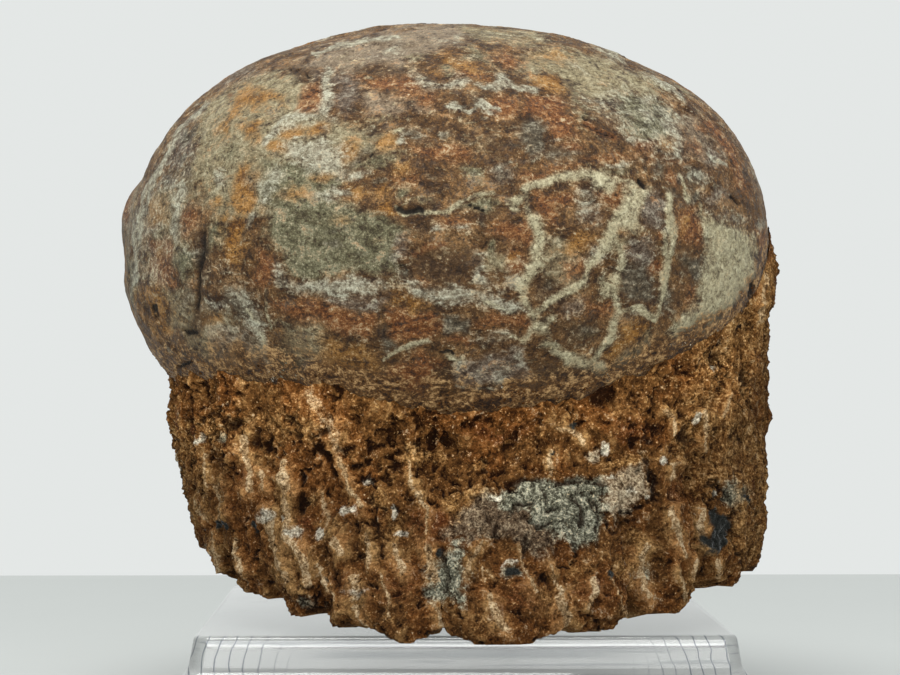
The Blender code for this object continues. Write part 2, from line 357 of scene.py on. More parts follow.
def sideSurface(angle, up, edge):
    # points of the block's side: up is 0 at the foot and 1 at the edge against the shell
    values = blockValues
    outward = outwardOf(angle)
    edgeRadius = ((edge - blockAxis) * outward).sum(1)
    lobed = lobe(angle)
    foot = standTop + around(values["footHeight"], angle) + values["notchLift"] * (1 - lobed)
    footRadius = around(values["footRadius"], angle)
    waist = around(values["waistRadius"], angle)
    height = foot + (edge[:, 2] - foot) * up
    bend = 2 * (footRadius + edgeRadius) - 4 * waist
    radius = footRadius + (edgeRadius - footRadius - bend) * up + bend * up * up
    radius -= values["footTuck"] * np.maximum(0, 1 - up / values["tuckShare"]) ** 2
    fade = np.minimum(1, (1 - up) / 0.12)
    radius -= values["notchDepth"] * (1 - lobed) * np.maximum(0, 1 - up * 1.25)
    radius -= scoop(angle, height) * fade * (1 - 0.35 * up)
    for turn, rise, halfWide, halfHigh, depth in values["hollows"]:
        sideways = radius * np.sin(np.radians(angleBetween(angle, turn))) / halfWide
        sideways = np.where(angleBetween(angle, turn) > 90, 9, sideways)
        upwards = (height - standTop - rise) / halfHigh
        radius -= depth * bell(np.hypot(sideways, upwards)) * fade
    point = blockAxis + outward * radius[:, None]
    point[:, 2] = height
    radius += values["sideRough"] * fade * roughAt(point, 7, 4)
    near = height > eggCentre[2] - eggValues["half"][2] + 2
    directions = shellDirections(angle, height)
    shell = eggCentre + directions * eggReach(directions)[:, None]
    least = ((shell - blockAxis) * outward).sum(1) + values["wallLeast"] * fade
    radius = np.where(near, np.maximum(radius, least), radius)
    point = blockAxis + outward * radius[:, None]
    point[:, 2] = height
    return point


def normalsOf(obj):
    flat = np.empty(len(obj.data.vertices) * 3)
    obj.data.vertex_normals.foreach_get("vector", flat)
    return flat.reshape(-1, 3)


def storeMask(obj, name, values):
    layer = obj.data.attributes.new(name, "FLOAT", "POINT")
    layer.data.foreach_set("value", np.clip(values, 0, 1).astype(np.float32))


# where colour lies: patches and lines set out on the face that is shown

class FaceMap:
    # each point's place across and above the stand, as seen from in front, and how far it is
    # turned to that side
    def __init__(self, points, normals):
        toEye = eyePlace - points
        self.points = points
        self.facing = (normals * toEye).sum(1) / np.linalg.norm(toEye, axis=1)
        scale = -eyePlace[1] / (points[:, 1] - eyePlace[1])
        self.across = eyePlace[0] + (points[:, 0] - eyePlace[0]) * scale
        self.above = eyePlace[2] + (points[:, 2] - eyePlace[2]) * scale - standTop
        self.bend = [roughAt(points, 5, 4, seed) for seed in (31.0, 57.0)]
        self.seen = smooth(self.facing, -0.05, 0.2)
        self.result = np.zeros(len(points))

    def bent(self, warp):
        return self.across + warp * self.bend[0], self.above + warp * self.bend[1]

    def near(self, places, margin):
        # numbers of the points close to these places
        low = np.min(places, axis=0) - margin
        high = np.max(places, axis=0) + margin
        inside = (self.across > low[0]) & (self.across < high[0]) & (self.facing > -0.05)
        return np.nonzero(inside & (self.above > low[1]) & (self.above < high[1]))[0]

    def stretch(self, chosen, place, size):
        # keeps a mark near the rim of the form from running on round the back
        gap = np.hypot(self.across - place[0], self.above - place[1]) + 1000 * (self.facing < 0.05)
        away = np.linalg.norm(self.points[chosen] - self.points[np.argmin(gap)], axis=1)
        return np.clip(2.5 - away / (1.3 * size + 1.5), 0, 1)

    def add(self, chosen, values):
        self.result[chosen] = np.maximum(self.result[chosen], values)

    def spots(self, table, feather=0.85, warp=1.3):
        # across, above, half length, half thickness, direction in degrees, strength
        placeX, placeZ = self.bent(warp)
        for across, above, longHalf, shortHalf, direction, strength in table:
            chosen = self.near([(across, above)], 2 * longHalf + 3)
            turn = math.radians(direction)
            x, z = placeX[chosen] - across, placeZ[chosen] - above
            along = (x * math.cos(turn) + z * math.sin(turn)) / longHalf
            over = (z * math.cos(turn) - x * math.sin(turn)) / shortHalf
            mask = strength * np.clip((1 + feather - np.hypot(along, over)) / (2 * feather), 0, 1)
            self.add(chosen, mask * self.stretch(chosen, (across, above), longHalf))

    def areas(self, table, feather=1.7, warp=1.4):
        # strength, then the outline
        placeX, placeZ = self.bent(warp)
        for strength, outline in table:
            chosen = self.near(outline, 4)
            x, z = placeX[chosen], placeZ[chosen]
            inside = np.zeros(len(chosen), bool)
            gap = np.full(len(chosen), 99.0)
            for (x1, z1), (x2, z2) in zip(outline, outline[1:] + outline[:1]):
                crossed = x < (x2 - x1) * (z - z1) / (z2 - z1 or 1e-9) + x1
                inside ^= ((z1 > z) != (z2 > z)) & crossed
                gap = np.minimum(gap, toSegment(x, z, x1, z1, x2, z2))
            mask = strength * np.clip(0.5 + np.where(inside, gap, -gap) / (2 * feather), 0, 1)
            middle = np.mean(outline, axis=0)
            size = np.max(np.linalg.norm(np.array(outline) - middle, axis=1))
            self.add(chosen, mask * self.stretch(chosen, middle, size))

    def lines(self, table, feather=0.9, warp=0.8):
        # width, strength, then the route
        placeX, placeZ = self.bent(warp)
        for width, strength, route in table:
            chosen = self.near(route, 4)
            x, z = placeX[chosen], placeZ[chosen]
            for (x1, z1), (x2, z2) in zip(route, route[1:]):
                distance = toSegment(x, z, x1, z1, x2, z2) / (width / 2)
                self.add(chosen, strength * np.clip((1 + feather - distance) / (2 * feather), 0, 1))

    def take(self):
        result = self.result * self.seen
        self.result = np.zeros(len(self.points))
        return result

    def paint(self, marks, warp=1.4):
        self.areas(marks.get("areas", ()), 1.7, warp)
        self.spots(marks.get("spots", ()))
        self.lines(marks.get("lines", ()))
        return self.take()


def toSegment(x, z, x1, z1, x2, z2):
    stepX, stepZ = x2 - x1, z2 - z1
    t = np.clip(((x - x1) * stepX + (z - z1) * stepZ) / (stepX * stepX + stepZ * stepZ), 0, 1)
    return np.hypot(x - x1 - t * stepX, z - z1 - t * stepZ)


# where each mineral shows on the face that is shown
shellPaint = {
    "rose": {
        "areas": (
            (0.9, ((-34, 111), (-28, 114), (-15, 118), (0, 120), (2, 116), (-9, 113), (-12, 110.5),
                (-22, 110.5), (-30, 109.5))),
            (0.7, ((-21, 105), (-15, 105), (-10, 103), (-13, 100.2), (-20, 101))),
            (0.6, ((-50, 104), (-42, 110), (-36, 111), (-40, 108.5), (-47, 104.5))),
            (0.6, ((44, 100), (48, 102), (53, 96), (51, 91), (46, 92), (45.5, 97))),
            (0.5, ((-69, 80), (-66, 86), (-60, 95), (-52, 103), (-56, 98), (-62, 89), (-65, 83))),
            (0.55, ((-55, 58), (-48, 59), (-40, 53), (-42, 48), (-50, 49))),
        ),
        "spots": (
            (-9, 103, 4, 1.5, -15, 0.6), (-36, 104, 2, 1.5, 30, 0.6), (-58, 84, 2, 3, 0, 0.4),
        ),
    },
    "khaki": {
        "areas": (
            (1, ((13, 113), (20, 114.5), (30, 112), (38, 109), (43, 105.5), (35, 106), (30, 103.5),
                (24, 105), (20, 108.5), (12, 110))),
            (0.8, ((0, 119.5), (16, 118), (18, 115), (8, 115.5), (0, 116.5))),
            (0.9, ((-53, 97), (-51, 102.5), (-47, 105.5), (-40, 108.5), (-34, 110), (-33, 107.5),
                (-38, 106.5), (-46, 103), (-48.5, 98))),
            (0.8, ((-51, 92), (-48, 96), (-43, 95), (-39, 94), (-39, 91.5), (-48, 90))),
            (0.8, ((-27, 100), (-14, 97), (-14, 92), (-22, 93), (-26, 92), (-29, 96))),
            (0.7, ((-40, 101), (-36, 100), (-38, 95), (-41.5, 96))),
            (0.6, ((9, 111), (17, 111), (17, 108), (9, 108.5))),
            (0.6, ((-37, 59), (-27, 58.5), (-28, 51), (-37, 51.5))),
            (0.6, ((26, 103), (30, 102.5), (34, 99), (34, 97), (31, 99.5), (27, 101))),
            (0.5, ((-37, 71), (-28, 71.5), (-16, 70), (-15, 67), (-28, 67.5))),
            (0.6, ((30, 79), (33, 78), (35, 74.5), (32.5, 71.5), (29.5, 72.5))),
            (0.6, ((-29, 60), (-34, 62), (-31, 58), (-27, 57))),
            (0.8, ((-50, 78), (-56, 90), (-52, 104), (-38, 110), (-30, 106), (-27, 97), (-30, 88),
                (-38, 80))),
            (0.6, ((-66, 66), (-66, 80), (-58, 92), (-52, 86), (-56, 70))),
            (0.55, ((-62, 66), (-55, 66), (-46, 60), (-40, 52), (-44, 47), (-54, 50), (-60, 58))),
            (0.55, ((14, 72), (20, 76), (26, 72), (24, 64), (17, 66))),
        ),
        "spots": (
            (-54, 88.5, 3.5, 3, 70, 0.6), (-52, 96.8, 2.2, 1.8, 0, 0.8), (7.5, 70, 2.8, 1.6, 0, 0.9),
            (-62.5, 67.5, 2, 1.5, 0, 0.6), (-9, 112.5, 3, 0.8, 0, 0.6), (30.5, 64.5, 2.5, 1.8, 0, 0.7),
            (-30, 69.5, 5, 1, 0, 0.6), (2, 96, 5, 4, 0, 0.35), (-33, 52, 2, 0.9, -20, 0.8),
            (45, 57, 3, 1.5, 30, 0.5), (-43, 85, 3, 4, 0, 0.4), (-25, 92, 3, 2, 0, 0.6),
        ),
    },
    "green": {
        "areas": (
            (0.8, ((-42, 92), (-36, 91.5), (-28, 91), (-24, 88), (-26, 84), (-20, 81.5), (-14, 80.5),
                (-10.5, 77), (-13.5, 73), (-11, 69), (-17, 67.5), (-24, 69), (-30, 66), (-36, 68.5),
                (-37, 73), (-41, 76), (-39, 81), (-42.5, 85), (-40.5, 88))),
            (0.95, ((32, 105), (37, 105.5), (42, 103), (44, 100), (42, 96.5), (38, 96), (35, 97.5),
                (33, 101))),
            (0.9, ((-22, 91.8), (-17, 92.3), (-12, 92), (-12.5, 90.8), (-17, 90.3), (-21.5, 90.5))),
            (0.9, ((-58, 73), (-53, 73), (-50.5, 79), (-48.5, 77), (-51, 73), (-53, 70), (-57, 66.5),
                (-58.5, 70))),
            (0.8, ((32, 50), (35, 52.5), (38, 57), (38.7, 54), (36.5, 50.5), (33, 47.5), (30.5, 47))),
            (0.8, ((0, 90), (3, 91.8), (5, 89), (4, 87), (1, 88))),
            (0.8, ((-38, 51.5), (-31, 51), (-32, 47), (-37, 46))),
            (0.7, ((-68.5, 72), (-66, 71), (-65.3, 66), (-66.5, 61), (-67.8, 64), (-69, 68))),
            (0.7, ((0, 114.5), (3, 115), (6, 112), (9, 110), (8, 109.5), (4, 111.5))),
            (0.7, ((44, 59), (49, 59), (50, 62), (47.5, 54.5), (44, 55.5))),
            (0.8, ((-10, 83.6), (-5, 83.6), (-4.5, 82.2), (-7.5, 82.1))),
            (0.7, ((1, 84), (4, 85), (9, 84.2), (9, 82), (5, 80.5), (1, 81.5))),
            (0.6, ((27, 90), (35, 91), (36, 88.5), (33, 88), (27, 88.8))),
            (0.7, ((21, 107), (24, 106), (27, 100.5), (26, 99.5), (23, 103))),
        ),
        "spots": (
            (-47.5, 93, 3, 2.5, 0, 0.6), (-12, 85.5, 1.6, 1.4, 80, 0.8), (6, 73.5, 1.8, 1, 80, 0.8),
            (-3, 110, 2, 1, -20, 0.7), (18.3, 65.8, 1.3, 1, 0, 0.7), (25.5, 56, 2.6, 1.5, 0, 0.8),
            (-13.5, 77, 2, 1.2, 0, 0.6), (15.5, 77, 1.2, 3, 0, 0.6), (-6, 105.5, 2, 0.6, 0, 0.4),
            (46, 106.5, 4, 1, -35, 0.6), (-17, 99.5, 3, 1, 0, 0.6), (29, 47.5, 2, 1.5, 0, 0.7),
        ),
    },
    "purple": {
        "areas": (
            (0.9, ((-60, 90.5), (-57.5, 97.5), (-54.5, 97), (-54.5, 92), (-58, 89.5))),
            (0.8, ((-62, 85.5), (-60, 89.5), (-57.5, 89), (-57.5, 86), (-59.5, 85))),
            (0.9, ((-26, 109.5), (-22.5, 110), (-21, 107), (-21.5, 102), (-24, 100.5), (-25.5, 103))),
            (0.95, ((36.5, 81), (37.5, 84.5), (40.5, 85.5), (42.5, 82), (41, 77), (38, 78))),
            (0.8, ((34, 75.5), (38, 75.8), (40.5, 71), (38, 69), (34, 71))),
            (0.85, ((-1, 50.5), (8, 51.5), (13, 53), (14, 47), (9.5, 45), (2, 44.8), (-1, 46.5))),
            (0.65, ((-49, 58), (-43, 57.5), (-42, 50), (-46, 47), (-52, 50), (-52, 55))),
            (0.7, ((-29, 64.5), (-15, 64.5), (-14.5, 62.5), (-18, 60), (-22, 60.5), (-29, 62))),
            (0.7, ((-14, 76), (-11, 76.5), (-10.5, 72), (-12.5, 70), (-14, 72.5))),
            (0.7, ((50, 92), (52, 96), (54.5, 93), (54, 89.5), (51.5, 89.5))),
            (0.4, ((-62, 57), (-57, 57), (-55, 54), (-59, 52))),
            (0.6, ((20.5, 62.5), (25, 63.5), (25.5, 60), (20.5, 60))),
            (0.6, ((49, 85), (54, 87), (57, 85), (53, 82), (49.5, 82.5))),
            (0.6, ((-32.5, 110), (-27, 110.5), (-26.5, 107), (-31, 107.5))),
        ),
        "spots": (
            (-63.5, 78, 2.2, 1.4, 70, 0.8), (-64, 73, 1.2, 1, 0, 0.8), (-50.5, 61.8, 2, 1.5, 0, 0.8),
            (-32, 49, 2.5, 1.3, -10, 0.7), (8.5, 89, 2.5, 2, 0, 0.6), (-46, 109.3, 6, 1.2, 28, 0.7),
            (-66.5, 68.5, 2, 1, 80, 0.7), (-8, 96, 3, 1.5, 0, 0.4), (27, 80, 3, 2.5, 60, 0.5),
            (45, 88, 2.5, 1.4, 60, 0.5), (-17, 112.5, 4, 1, 0, 0.5), (-56, 63, 4, 2, 80, 0.5),
        ),
    },
    "rust": {
        "areas": (
            (1, ((-33, 105.5), (-31, 106.5), (-27.8, 106.5), (-28.5, 102.5), (-30, 100.5), (-33, 102))),
            (1, ((-21.5, 108.5), (-19, 108), (-15, 109), (-13.5, 107.5), (-15, 106), (-17, 105.5),
                (-20, 107))),
            (0.9, ((-14.5, 109.3), (-11, 109), (-8.5, 106.5), (-9.5, 105), (-13.5, 105.5))),
            (1, ((-29, 62), (-22, 60.3), (-18, 60), (-17, 57), (-19, 55), (-27, 58), (-33, 60), (-38, 60),
                (-39, 61.8), (-33, 62.5))),
            (1, ((-16, 60.5), (-5, 60), (-3.8, 57), (-5.5, 54.5), (-11, 53.8), (-15, 56.5))),
            (0.9, ((-8, 52.5), (-3, 51), (-5, 48), (-6, 42), (-15, 43.5), (-14, 48), (-10, 50.5))),
            (0.9, ((-42, 73), (-38.5, 72), (-37.5, 68), (-40, 64.5), (-43, 66))),
            (0.9, ((-57.5, 80), (-54.5, 83), (-53.5, 80), (-55, 76), (-57, 75.5))),
            (0.8, ((-65, 76), (-59, 75), (-58, 67), (-60, 65), (-64.5, 68))),
            (0.85, ((13, 105), (19, 105), (22.5, 101), (25, 97), (20, 96), (18, 99), (13, 100))),
            (0.8, ((17, 91), (22, 90.5), (26, 91.5), (30, 93), (33, 93.5), (35, 91.5), (30, 90.8),
                (24, 89.8), (18, 89))),
            (0.9, ((35, 94.5), (37, 95.8), (40, 95.5), (39.5, 93), (36, 93))),
            (0.85, ((46, 94), (48, 95.5), (50, 94), (49, 92.5), (46.5, 92.8))),
            (0.8, ((7, 105), (12, 104), (13, 101), (9, 100), (5, 101))),
            (0.8, ((13, 90), (19, 89), (18, 87.5), (14, 87), (11, 88.5))),
            (0.85, ((15, 84.5), (22, 85.5), (24, 83), (20, 82), (20, 77), (16, 80))),
            (0.8, ((27, 85.3), (31, 85), (34.5, 86), (34, 82), (30, 82.5))),
            (0.85, ((44, 82), (47, 82.5), (49.5, 78), (50, 74), (47, 74.5), (44.7, 76))),
            (0.7, ((21, 71), (28, 71), (27, 67.5), (21, 67))),
            (0.8, ((25, 63), (32, 62), (32.5, 59.5), (26, 60))),
            (0.7, ((45.5, 66), (48.5, 65.5), (48, 63), (46, 62.5))),
            (0.8, ((6, 79), (14, 79), (15, 75), (13, 73.5), (7, 76), (5, 77))),
            (0.9, ((10.5, 73), (13.5, 73), (13, 68), (10.5, 69.5))),
            (0.7, ((2, 58), (7, 60), (14, 59.5), (15, 56), (8, 56), (3, 56.5))),
            (0.75, ((-5.5, 80.5), (1, 80.5), (3, 78), (-2, 77.5), (-5, 78.5))),
            (0.7, ((-9, 107), (-4.5, 106), (-5, 103), (-10, 103))),
            (0.8, ((-9, 90.5), (-3, 91), (3, 91), (2, 94.5), (-4, 94), (-10, 93.5))),
            (0.8, ((60, 80), (64, 76), (65, 68), (63, 58), (60, 58), (61, 66), (61, 75))),
            (0.8, ((6, 112.5), (10, 113.7), (14, 112.5), (13, 110.5), (9, 110.5))),
            (0.7, ((56, 92), (59, 88), (60, 82), (56, 86), (54, 90))),
            (0.7, ((35, 92.5), (45, 92), (52, 88), (47, 90), (40, 91))),
            (0.7, ((-14, 88.5), (-9, 89), (-8, 86.5), (-14, 86))),
        ),
        "spots": (
            (-47.5, 104.3, 1, 0.6, 30, 0.8), (-59, 66, 1.2, 1, 0, 0.9), (-36, 47.5, 1.6, 1, -60, 0.8),
            (3, 108.7, 4, 0.6, 0, 0.8), (23, 94, 2.5, 1.3, 0, 0.7), (49.8, 98, 1.5, 1, 0, 0.7),
            (40.5, 69.5, 1.6, 1, 0, 0.9), (40.7, 76, 1.5, 0.8, 30, 0.8), (32.5, 83, 2.5, 1.5, 85, 0.6),
            (0, 54.2, 3, 0.6, -5, 0.8), (-7.5, 66.5, 2, 0.9, -10, 0.6), (9.8, 113.2, 1.2, 0.4, 0, 1),
            (43.5, 87.3, 2.5, 1, -55, 0.8), (-53, 46, 2, 1.5, 0, 0.6), (-26, 61, 2, 1, 0, 0.6),
        ),
        "lines": (
            (1.8, 0.8, ((51, 99.5), (53, 97), (55, 94), (57.5, 90))),
            (1.3, 0.8, ((-9, 72.3), (-6.5, 73.8), (-3.5, 74.3))),
            (1.4, 0.9, ((26, 99.5), (28.5, 98), (31, 96.3))),
        ),
    },
    "orange": {
        "areas": (
            (0.95, ((-46, 104.5), (-44, 106), (-40, 105.8), (-36, 104.5), (-36.5, 103), (-40, 102.8),
                (-44, 102.5), (-46.5, 99), (-48, 97), (-49.5, 97.5), (-47, 101.5))),
            (0.9, ((-45.5, 98), (-44.5, 95.5), (-41, 96.5), (-39.5, 99.5), (-41, 100.5))),
            (1, ((-45.5, 90.5), (-43, 91), (-42, 86.5), (-42, 83), (-43.5, 80), (-45.5, 80), (-48, 82.5),
                (-46, 85.5))),
            (0.8, ((-49, 80), (-44, 80), (-43.5, 75), (-45, 70), (-49, 70.5))),
            (0.95, ((-18.5, 96), (-14, 96.5), (-13.2, 93.5), (-16.5, 93))),
            (0.85, ((-5, 111.5), (-2, 112.5), (4, 110.5), (4.5, 109), (1, 109), (-3, 111))),
            (0.9, ((-54, 60.3), (-48.5, 60.5), (-48.5, 58.5), (-53, 57))),
            (0.95, ((40, 95), (41, 96.5), (44, 96.5), (44, 94.5), (41.5, 93.8))),
            (0.8, ((-24, 87), (-20, 87), (-19, 84), (-22, 83.5))),
            (0.85, ((-14, 64.5), (-10, 64), (-7, 62), (-10, 60.5), (-13.5, 62))),
            (1, ((33, 58), (38.5, 58.5), (36.5, 55.5), (33.5, 53), (31, 50), (30.5, 52), (33, 55))),
            (0.7, ((21, 76.5), (28, 76.5), (27, 72), (22, 71.5))),
            (0.6, ((-36, 87), (-31, 86.5), (-31, 83), (-35, 82), (-39, 82.5), (-38, 85))),
            (0.55, ((-29, 56), (-19, 54), (-16.5, 50), (-17, 45), (-29, 45))),
            (0.7, ((14, 113), (20, 114), (23, 111), (16, 111))),
            (0.6, ((-65, 83), (-60, 84), (-60, 78), (-64.5, 78))),
            (0.6, ((-66, 64), (-62, 66), (-58, 62), (-58, 56), (-62, 56))),
            (0.5, ((-51, 56), (-45, 56), (-42, 50), (-47, 47), (-52, 49))),
        ),
        "spots": (
            (-34.5, 97.5, 2.6, 1.5, 0, 1), (-29.5, 97.3, 2, 1.6, 0, 1), (-37, 94.2, 2.6, 1.3, -15, 1),
            (-50, 83.3, 1.6, 1.2, 30, 0.7), (-49, 79.4, 1.3, 1.2, 0, 0.7), (-40, 81.5, 2, 1.4, 80, 0.6),
            (-28.5, 88.5, 2.5, 1, 20, 0.7), (-23, 94, 2.5, 2, 20, 0.8), (-14.5, 81.8, 2.2, 1.3, 0, 0.9),
            (-16, 85.5, 1.6, 1.5, 0, 0.7), (18, 107.2, 4, 1.1, -15, 0.85), (-24, 79, 3, 1.5, 0, 0.45),
            (-18, 75, 2, 1, 0, 0.4), (-6, 109, 1.2, 0.8, 0, 0.8), (15.5, 107.5, 2, 0.6, -10, 0.7),
            (-12, 90, 2, 1.5, 0, 0.6), (12, 72, 3, 0.6, 35, 0.7), (46, 79, 2.5, 1, 80, 0.6),
            (-62, 72, 1.5, 3, 0, 0.5),
        ),
    },
    "umber": {
        "areas": (
            (0.95, ((-10.5, 80), (-5.5, 80), (-5, 76.5), (-8, 75.5), (-10, 77))),
            (0.8, ((-9, 73), (-4, 74), (2, 73), (2.5, 68), (1, 65.5), (-5, 65.5), (-9, 69))),
            (0.95, ((-57, 57), (-55, 60), (-51, 60.5), (-52, 57), (-55, 55.3))),
            (0.9, ((15, 68), (19, 67), (21.5, 64.5), (18, 62.5), (15, 63.5))),
            (0.8, ((20, 58.5), (28, 58.5), (29, 55), (22, 53.5))),
            (0.8, ((-6.5, 50), (-2.8, 50.3), (-1.5, 47.5), (-4, 46), (-6.5, 47.5))),
            (0.8, ((15, 50), (22, 50), (27, 47.5), (25, 45), (15, 46))),
            (0.6, ((4, 98), (9, 98), (10, 92), (5, 92))),
            (0.9, ((-58, 49.3), (-55.5, 50.8), (-54, 48.5), (-55, 46.5))),
            (0.9, ((-69.5, 83), (-68, 83), (-67.5, 76), (-69, 75))),
        ),
        "spots": (
            (-56.3, 88.7, 1.7, 1.1, 70, 0.9), (-32.8, 109.6, 2.4, 1.4, -20, 0.95),
            (42.8, 66, 1.6, 0.6, 80, 0.8), (-55, 82, 2, 1.3, 70, 0.4),
        ),
        "lines": (
            (2.6, 1, ((-53, 76), (-53, 70.5), (-52, 68))),
            (1.8, 1, ((-52.6, 68), (-53.2, 66), (-54, 62), (-54, 59.5))),
            # painted shadow: a dark band near the crown, below a pale line
            (1.2, 0.7, ((-21.5, 110.4), (-18, 109.6), (-14, 110.2), (-10, 110.5))),
            (0.8, 0.7, ((-20.5, 91.8), (-18, 92.6), (-16, 92.7))),
        ),
    },
    "slate": {
        "areas": (
            (0.95, ((12, 99), (14, 100), (18, 98.5), (17.5, 93.5), (14, 93), (12.5, 95), (11.5, 97))),
            (0.9, ((1, 102.3), (3, 103.8), (4.3, 104.3), (5.5, 103), (4, 102.2))),
            (0.85, ((-14, 96.6), (-12, 97.3), (-9, 98), (-7, 96), (-9, 95), (-12, 95.5))),
            (0.85, ((18.5, 95.5), (21, 93.5), (25, 93), (22, 91.5), (18.5, 91.5))),
            (1, ((-3.6, 59.3), (-1.5, 59), (2.8, 58.8), (2, 55.3), (-3, 55.5))),
            (0.8, ((-16.8, 57.5), (-15, 57.5), (-12.5, 53.5), (-15.5, 51))),
            (0.95, ((33, 70), (38.5, 70.5), (40, 66), (39.8, 62), (36, 61.5), (33, 64), (32.5, 68))),
            (0.9, ((46, 72.5), (49.8, 72), (50, 67), (47.5, 66), (45.5, 69))),
            (0.8, ((39.5, 91.5), (42, 91.5), (42, 88), (40, 88))),
            (0.8, ((42.5, 86), (45, 85.5), (46.5, 84), (43, 83.5))),
            (0.8, ((46.5, 89.5), (50.5, 89.5), (51, 88), (47.5, 85.5))),
            (0.7, ((-60, 75.5), (-58.5, 80), (-57, 80), (-58.3, 75))),
            (0.6, ((41, 66), (45, 66), (44, 60), (41, 60))),
            (0.7, ((34, 61), (37, 61), (36, 58.8), (33.5, 59))),
            (0.7, ((31.5, 48), (36, 52), (38, 55), (36, 52.5), (33, 49))),
            (0.7, ((-49, 65), (-44, 65), (-41, 61), (-42, 57), (-46, 58.5), (-49, 62))),
        ),
        "spots": (
            (0.5, 102.5, 1.3, 0.6, -15, 0.9), (10.5, 95.2, 1.8, 0.7, 0, 0.8),
            (9.3, 91.5, 1.4, 0.6, 15, 0.7), (-3, 96.5, 1.7, 1, 10, 0.8), (-18, 97.5, 2.5, 0.9, 0, 0.6),
            (-16.3, 87, 1.5, 1, 20, 0.8), (-6.8, 87.3, 1.4, 0.6, 0, 0.7), (-55.3, 96.8, 2.6, 1, 50, 0.9),
            (-57, 91.6, 1.8, 0.9, 35, 0.8), (-59.6, 87.3, 1.6, 0.8, 80, 0.8), (-53, 102, 2, 0.6, 50, 0.6),
            (-26, 76.5, 1.6, 0.7, 0, 0.7), (-26, 74.3, 2, 0.6, 0, 0.7), (-21.5, 71.8, 2, 0.6, 0, 0.6),
            (-14, 71.5, 1.6, 1, 0, 0.7), (-11, 68, 1.8, 1.1, -30, 0.8), (-44.3, 76.5, 1.8, 1, 70, 0.7),
            (-40.8, 57.8, 1.3, 0.6, -60, 0.9), (47.5, 83.6, 1.4, 1, 80, 0.9), (26, 56, 2.4, 1.2, 0, 0.5),
            (3, 43.3, 2.5, 0.8, -10, 0.7), (41, 101.8, 1.6, 1.2, 0, 0.7), (18.3, 65.8, 1.2, 0.9, 0, 0.6),
            (50.3, 76, 0.7, 2, 0, 0.7), (42.4, 77, 0.6, 2, 0, 0.6), (-31, 92.3, 2.5, 0.5, 5, 0.7),
            (-6, 98, 2, 0.7, 0, 0.5), (11, 50, 2, 1, 0, 0.4),
        ),
        "lines": (
            (1.8, 0.6, ((-25.5, 88), (-22.5, 90), (-20.5, 93), (-18.5, 94))),
            (0.7, 0.7, ((-36, 57.5), (-32, 55.7), (-30, 55.5))),
            (1, 0.5, ((32, 104), (34, 101.5), (35, 99))),
        ),
    },
    "white": {
        "areas": (
            (0.9, ((-38, 70), (-34, 66), (-25, 67), (-16, 67), (-15, 65.5), (-25, 64), (-33, 63.5),
                (-38, 66.5))),
            (0.9, ((-11, 66.5), (-9, 65.5), (-4, 64.7), (1, 64.9), (3, 64), (3, 62.5), (-3, 61.8),
                (-6, 63.5), (-10, 64))),
            (0.95, ((4, 64.3), (9, 63.5), (13, 62), (13, 60.5), (9, 60.2), (4.5, 62))),
            (0.85, ((41, 101), (44.5, 100.5), (45.5, 96), (45.5, 92.5), (43, 92.5), (44, 96),
                (41.5, 98.5))),
            (0.8, ((-10, 109), (-6, 108), (-4, 106.8), (-1, 108.5), (2, 107.3), (-2, 106.3), (-6, 106),
                (-9, 107.5))),
            (0.75, ((3, 72), (4.5, 71), (4.5, 68), (6, 66), (4, 65.5), (3, 68))),
            (0.55, ((24, 86), (28, 86), (28, 80), (25, 80), (24, 82))),
            (0.7, ((3, 54.5), (6, 55.3), (10, 55), (11, 53.6), (6, 53.8))),
            (0.7, ((51, 81.5), (56, 80.5), (58, 79.5), (55, 79), (52, 80))),
            (0.6, ((26, 75), (29.5, 74), (29.5, 70.5), (27, 69))),
            (0.5, ((-57, 73.5), (-53, 73.5), (-53.5, 71.5), (-57, 71.5))),
            (0.75, ((-38, 99.7), (-32, 101.4), (-25.6, 99.9), (-26, 98.4), (-32, 99.2), (-37, 98))),
            (0.7, ((-36, 96), (-31, 95.5), (-26, 96), (-22.4, 94.2), (-24, 90), (-29, 88.7), (-34, 90),
                (-37, 92.5))),
            (0.5, ((-44, 88), (-40, 89), (-37, 84), (-39, 80), (-42, 82))),
            # a faint pale wash over the left rim, painted light on that rim
            (0.3, ((-68, 64), (-66, 82), (-58, 96), (-54, 90), (-58, 66))),
            (0.36, ((22, 104), (34, 108), (47, 101), (46, 90), (36, 94))),
            (0.2, ((-50, 48), (-56, 66), (-46, 72), (-38, 62), (-38, 48))),
        ),
        "spots": (
            (-31.3, 93.6, 3.8, 1.6, -3, 0.85), (-38.5, 88.5, 2.5, 1.6, 60, 0.75),
            (-38.5, 85.3, 1.5, 0.9, 20, 0.8), (-49.2, 87.8, 1.5, 1.1, 80, 0.85),
            (-43, 79.3, 1.5, 1, 50, 0.8), (-33, 96, 2.2, 0.6, 0, 0.8), (-58.3, 85.4, 2, 0.5, -15, 0.9),
            (-13.5, 113.7, 2, 1, 10, 0.7), (8.5, 108, 1.5, 1, 0, 0.9), (5, 106.7, 1.5, 0.6, 0, 0.8),
            (5.5, 102, 1.8, 0.4, -25, 0.9), (5, 100.3, 1.2, 0.5, 0, 0.7),
            (-0.8, 103.4, 1.1, 0.5, -10, 0.9), (-12.3, 94.5, 1, 0.8, 0, 0.9),
            (-21, 89, 2.5, 0.8, 10, 0.7), (8, 90, 1.8, 1.1, 80, 0.7), (8.5, 88.5, 1.6, 1.1, 0, 0.7),
            (-28.5, 97.5, 1.2, 0.8, 0, 0.6), (31, 113, 3.5, 0.8, -30, 0.8),
            (41.5, 106.8, 4, 0.8, -30, 0.8), (37.5, 104, 2, 1, 0, 0.85), (38, 101, 2, 1, -20, 0.8),
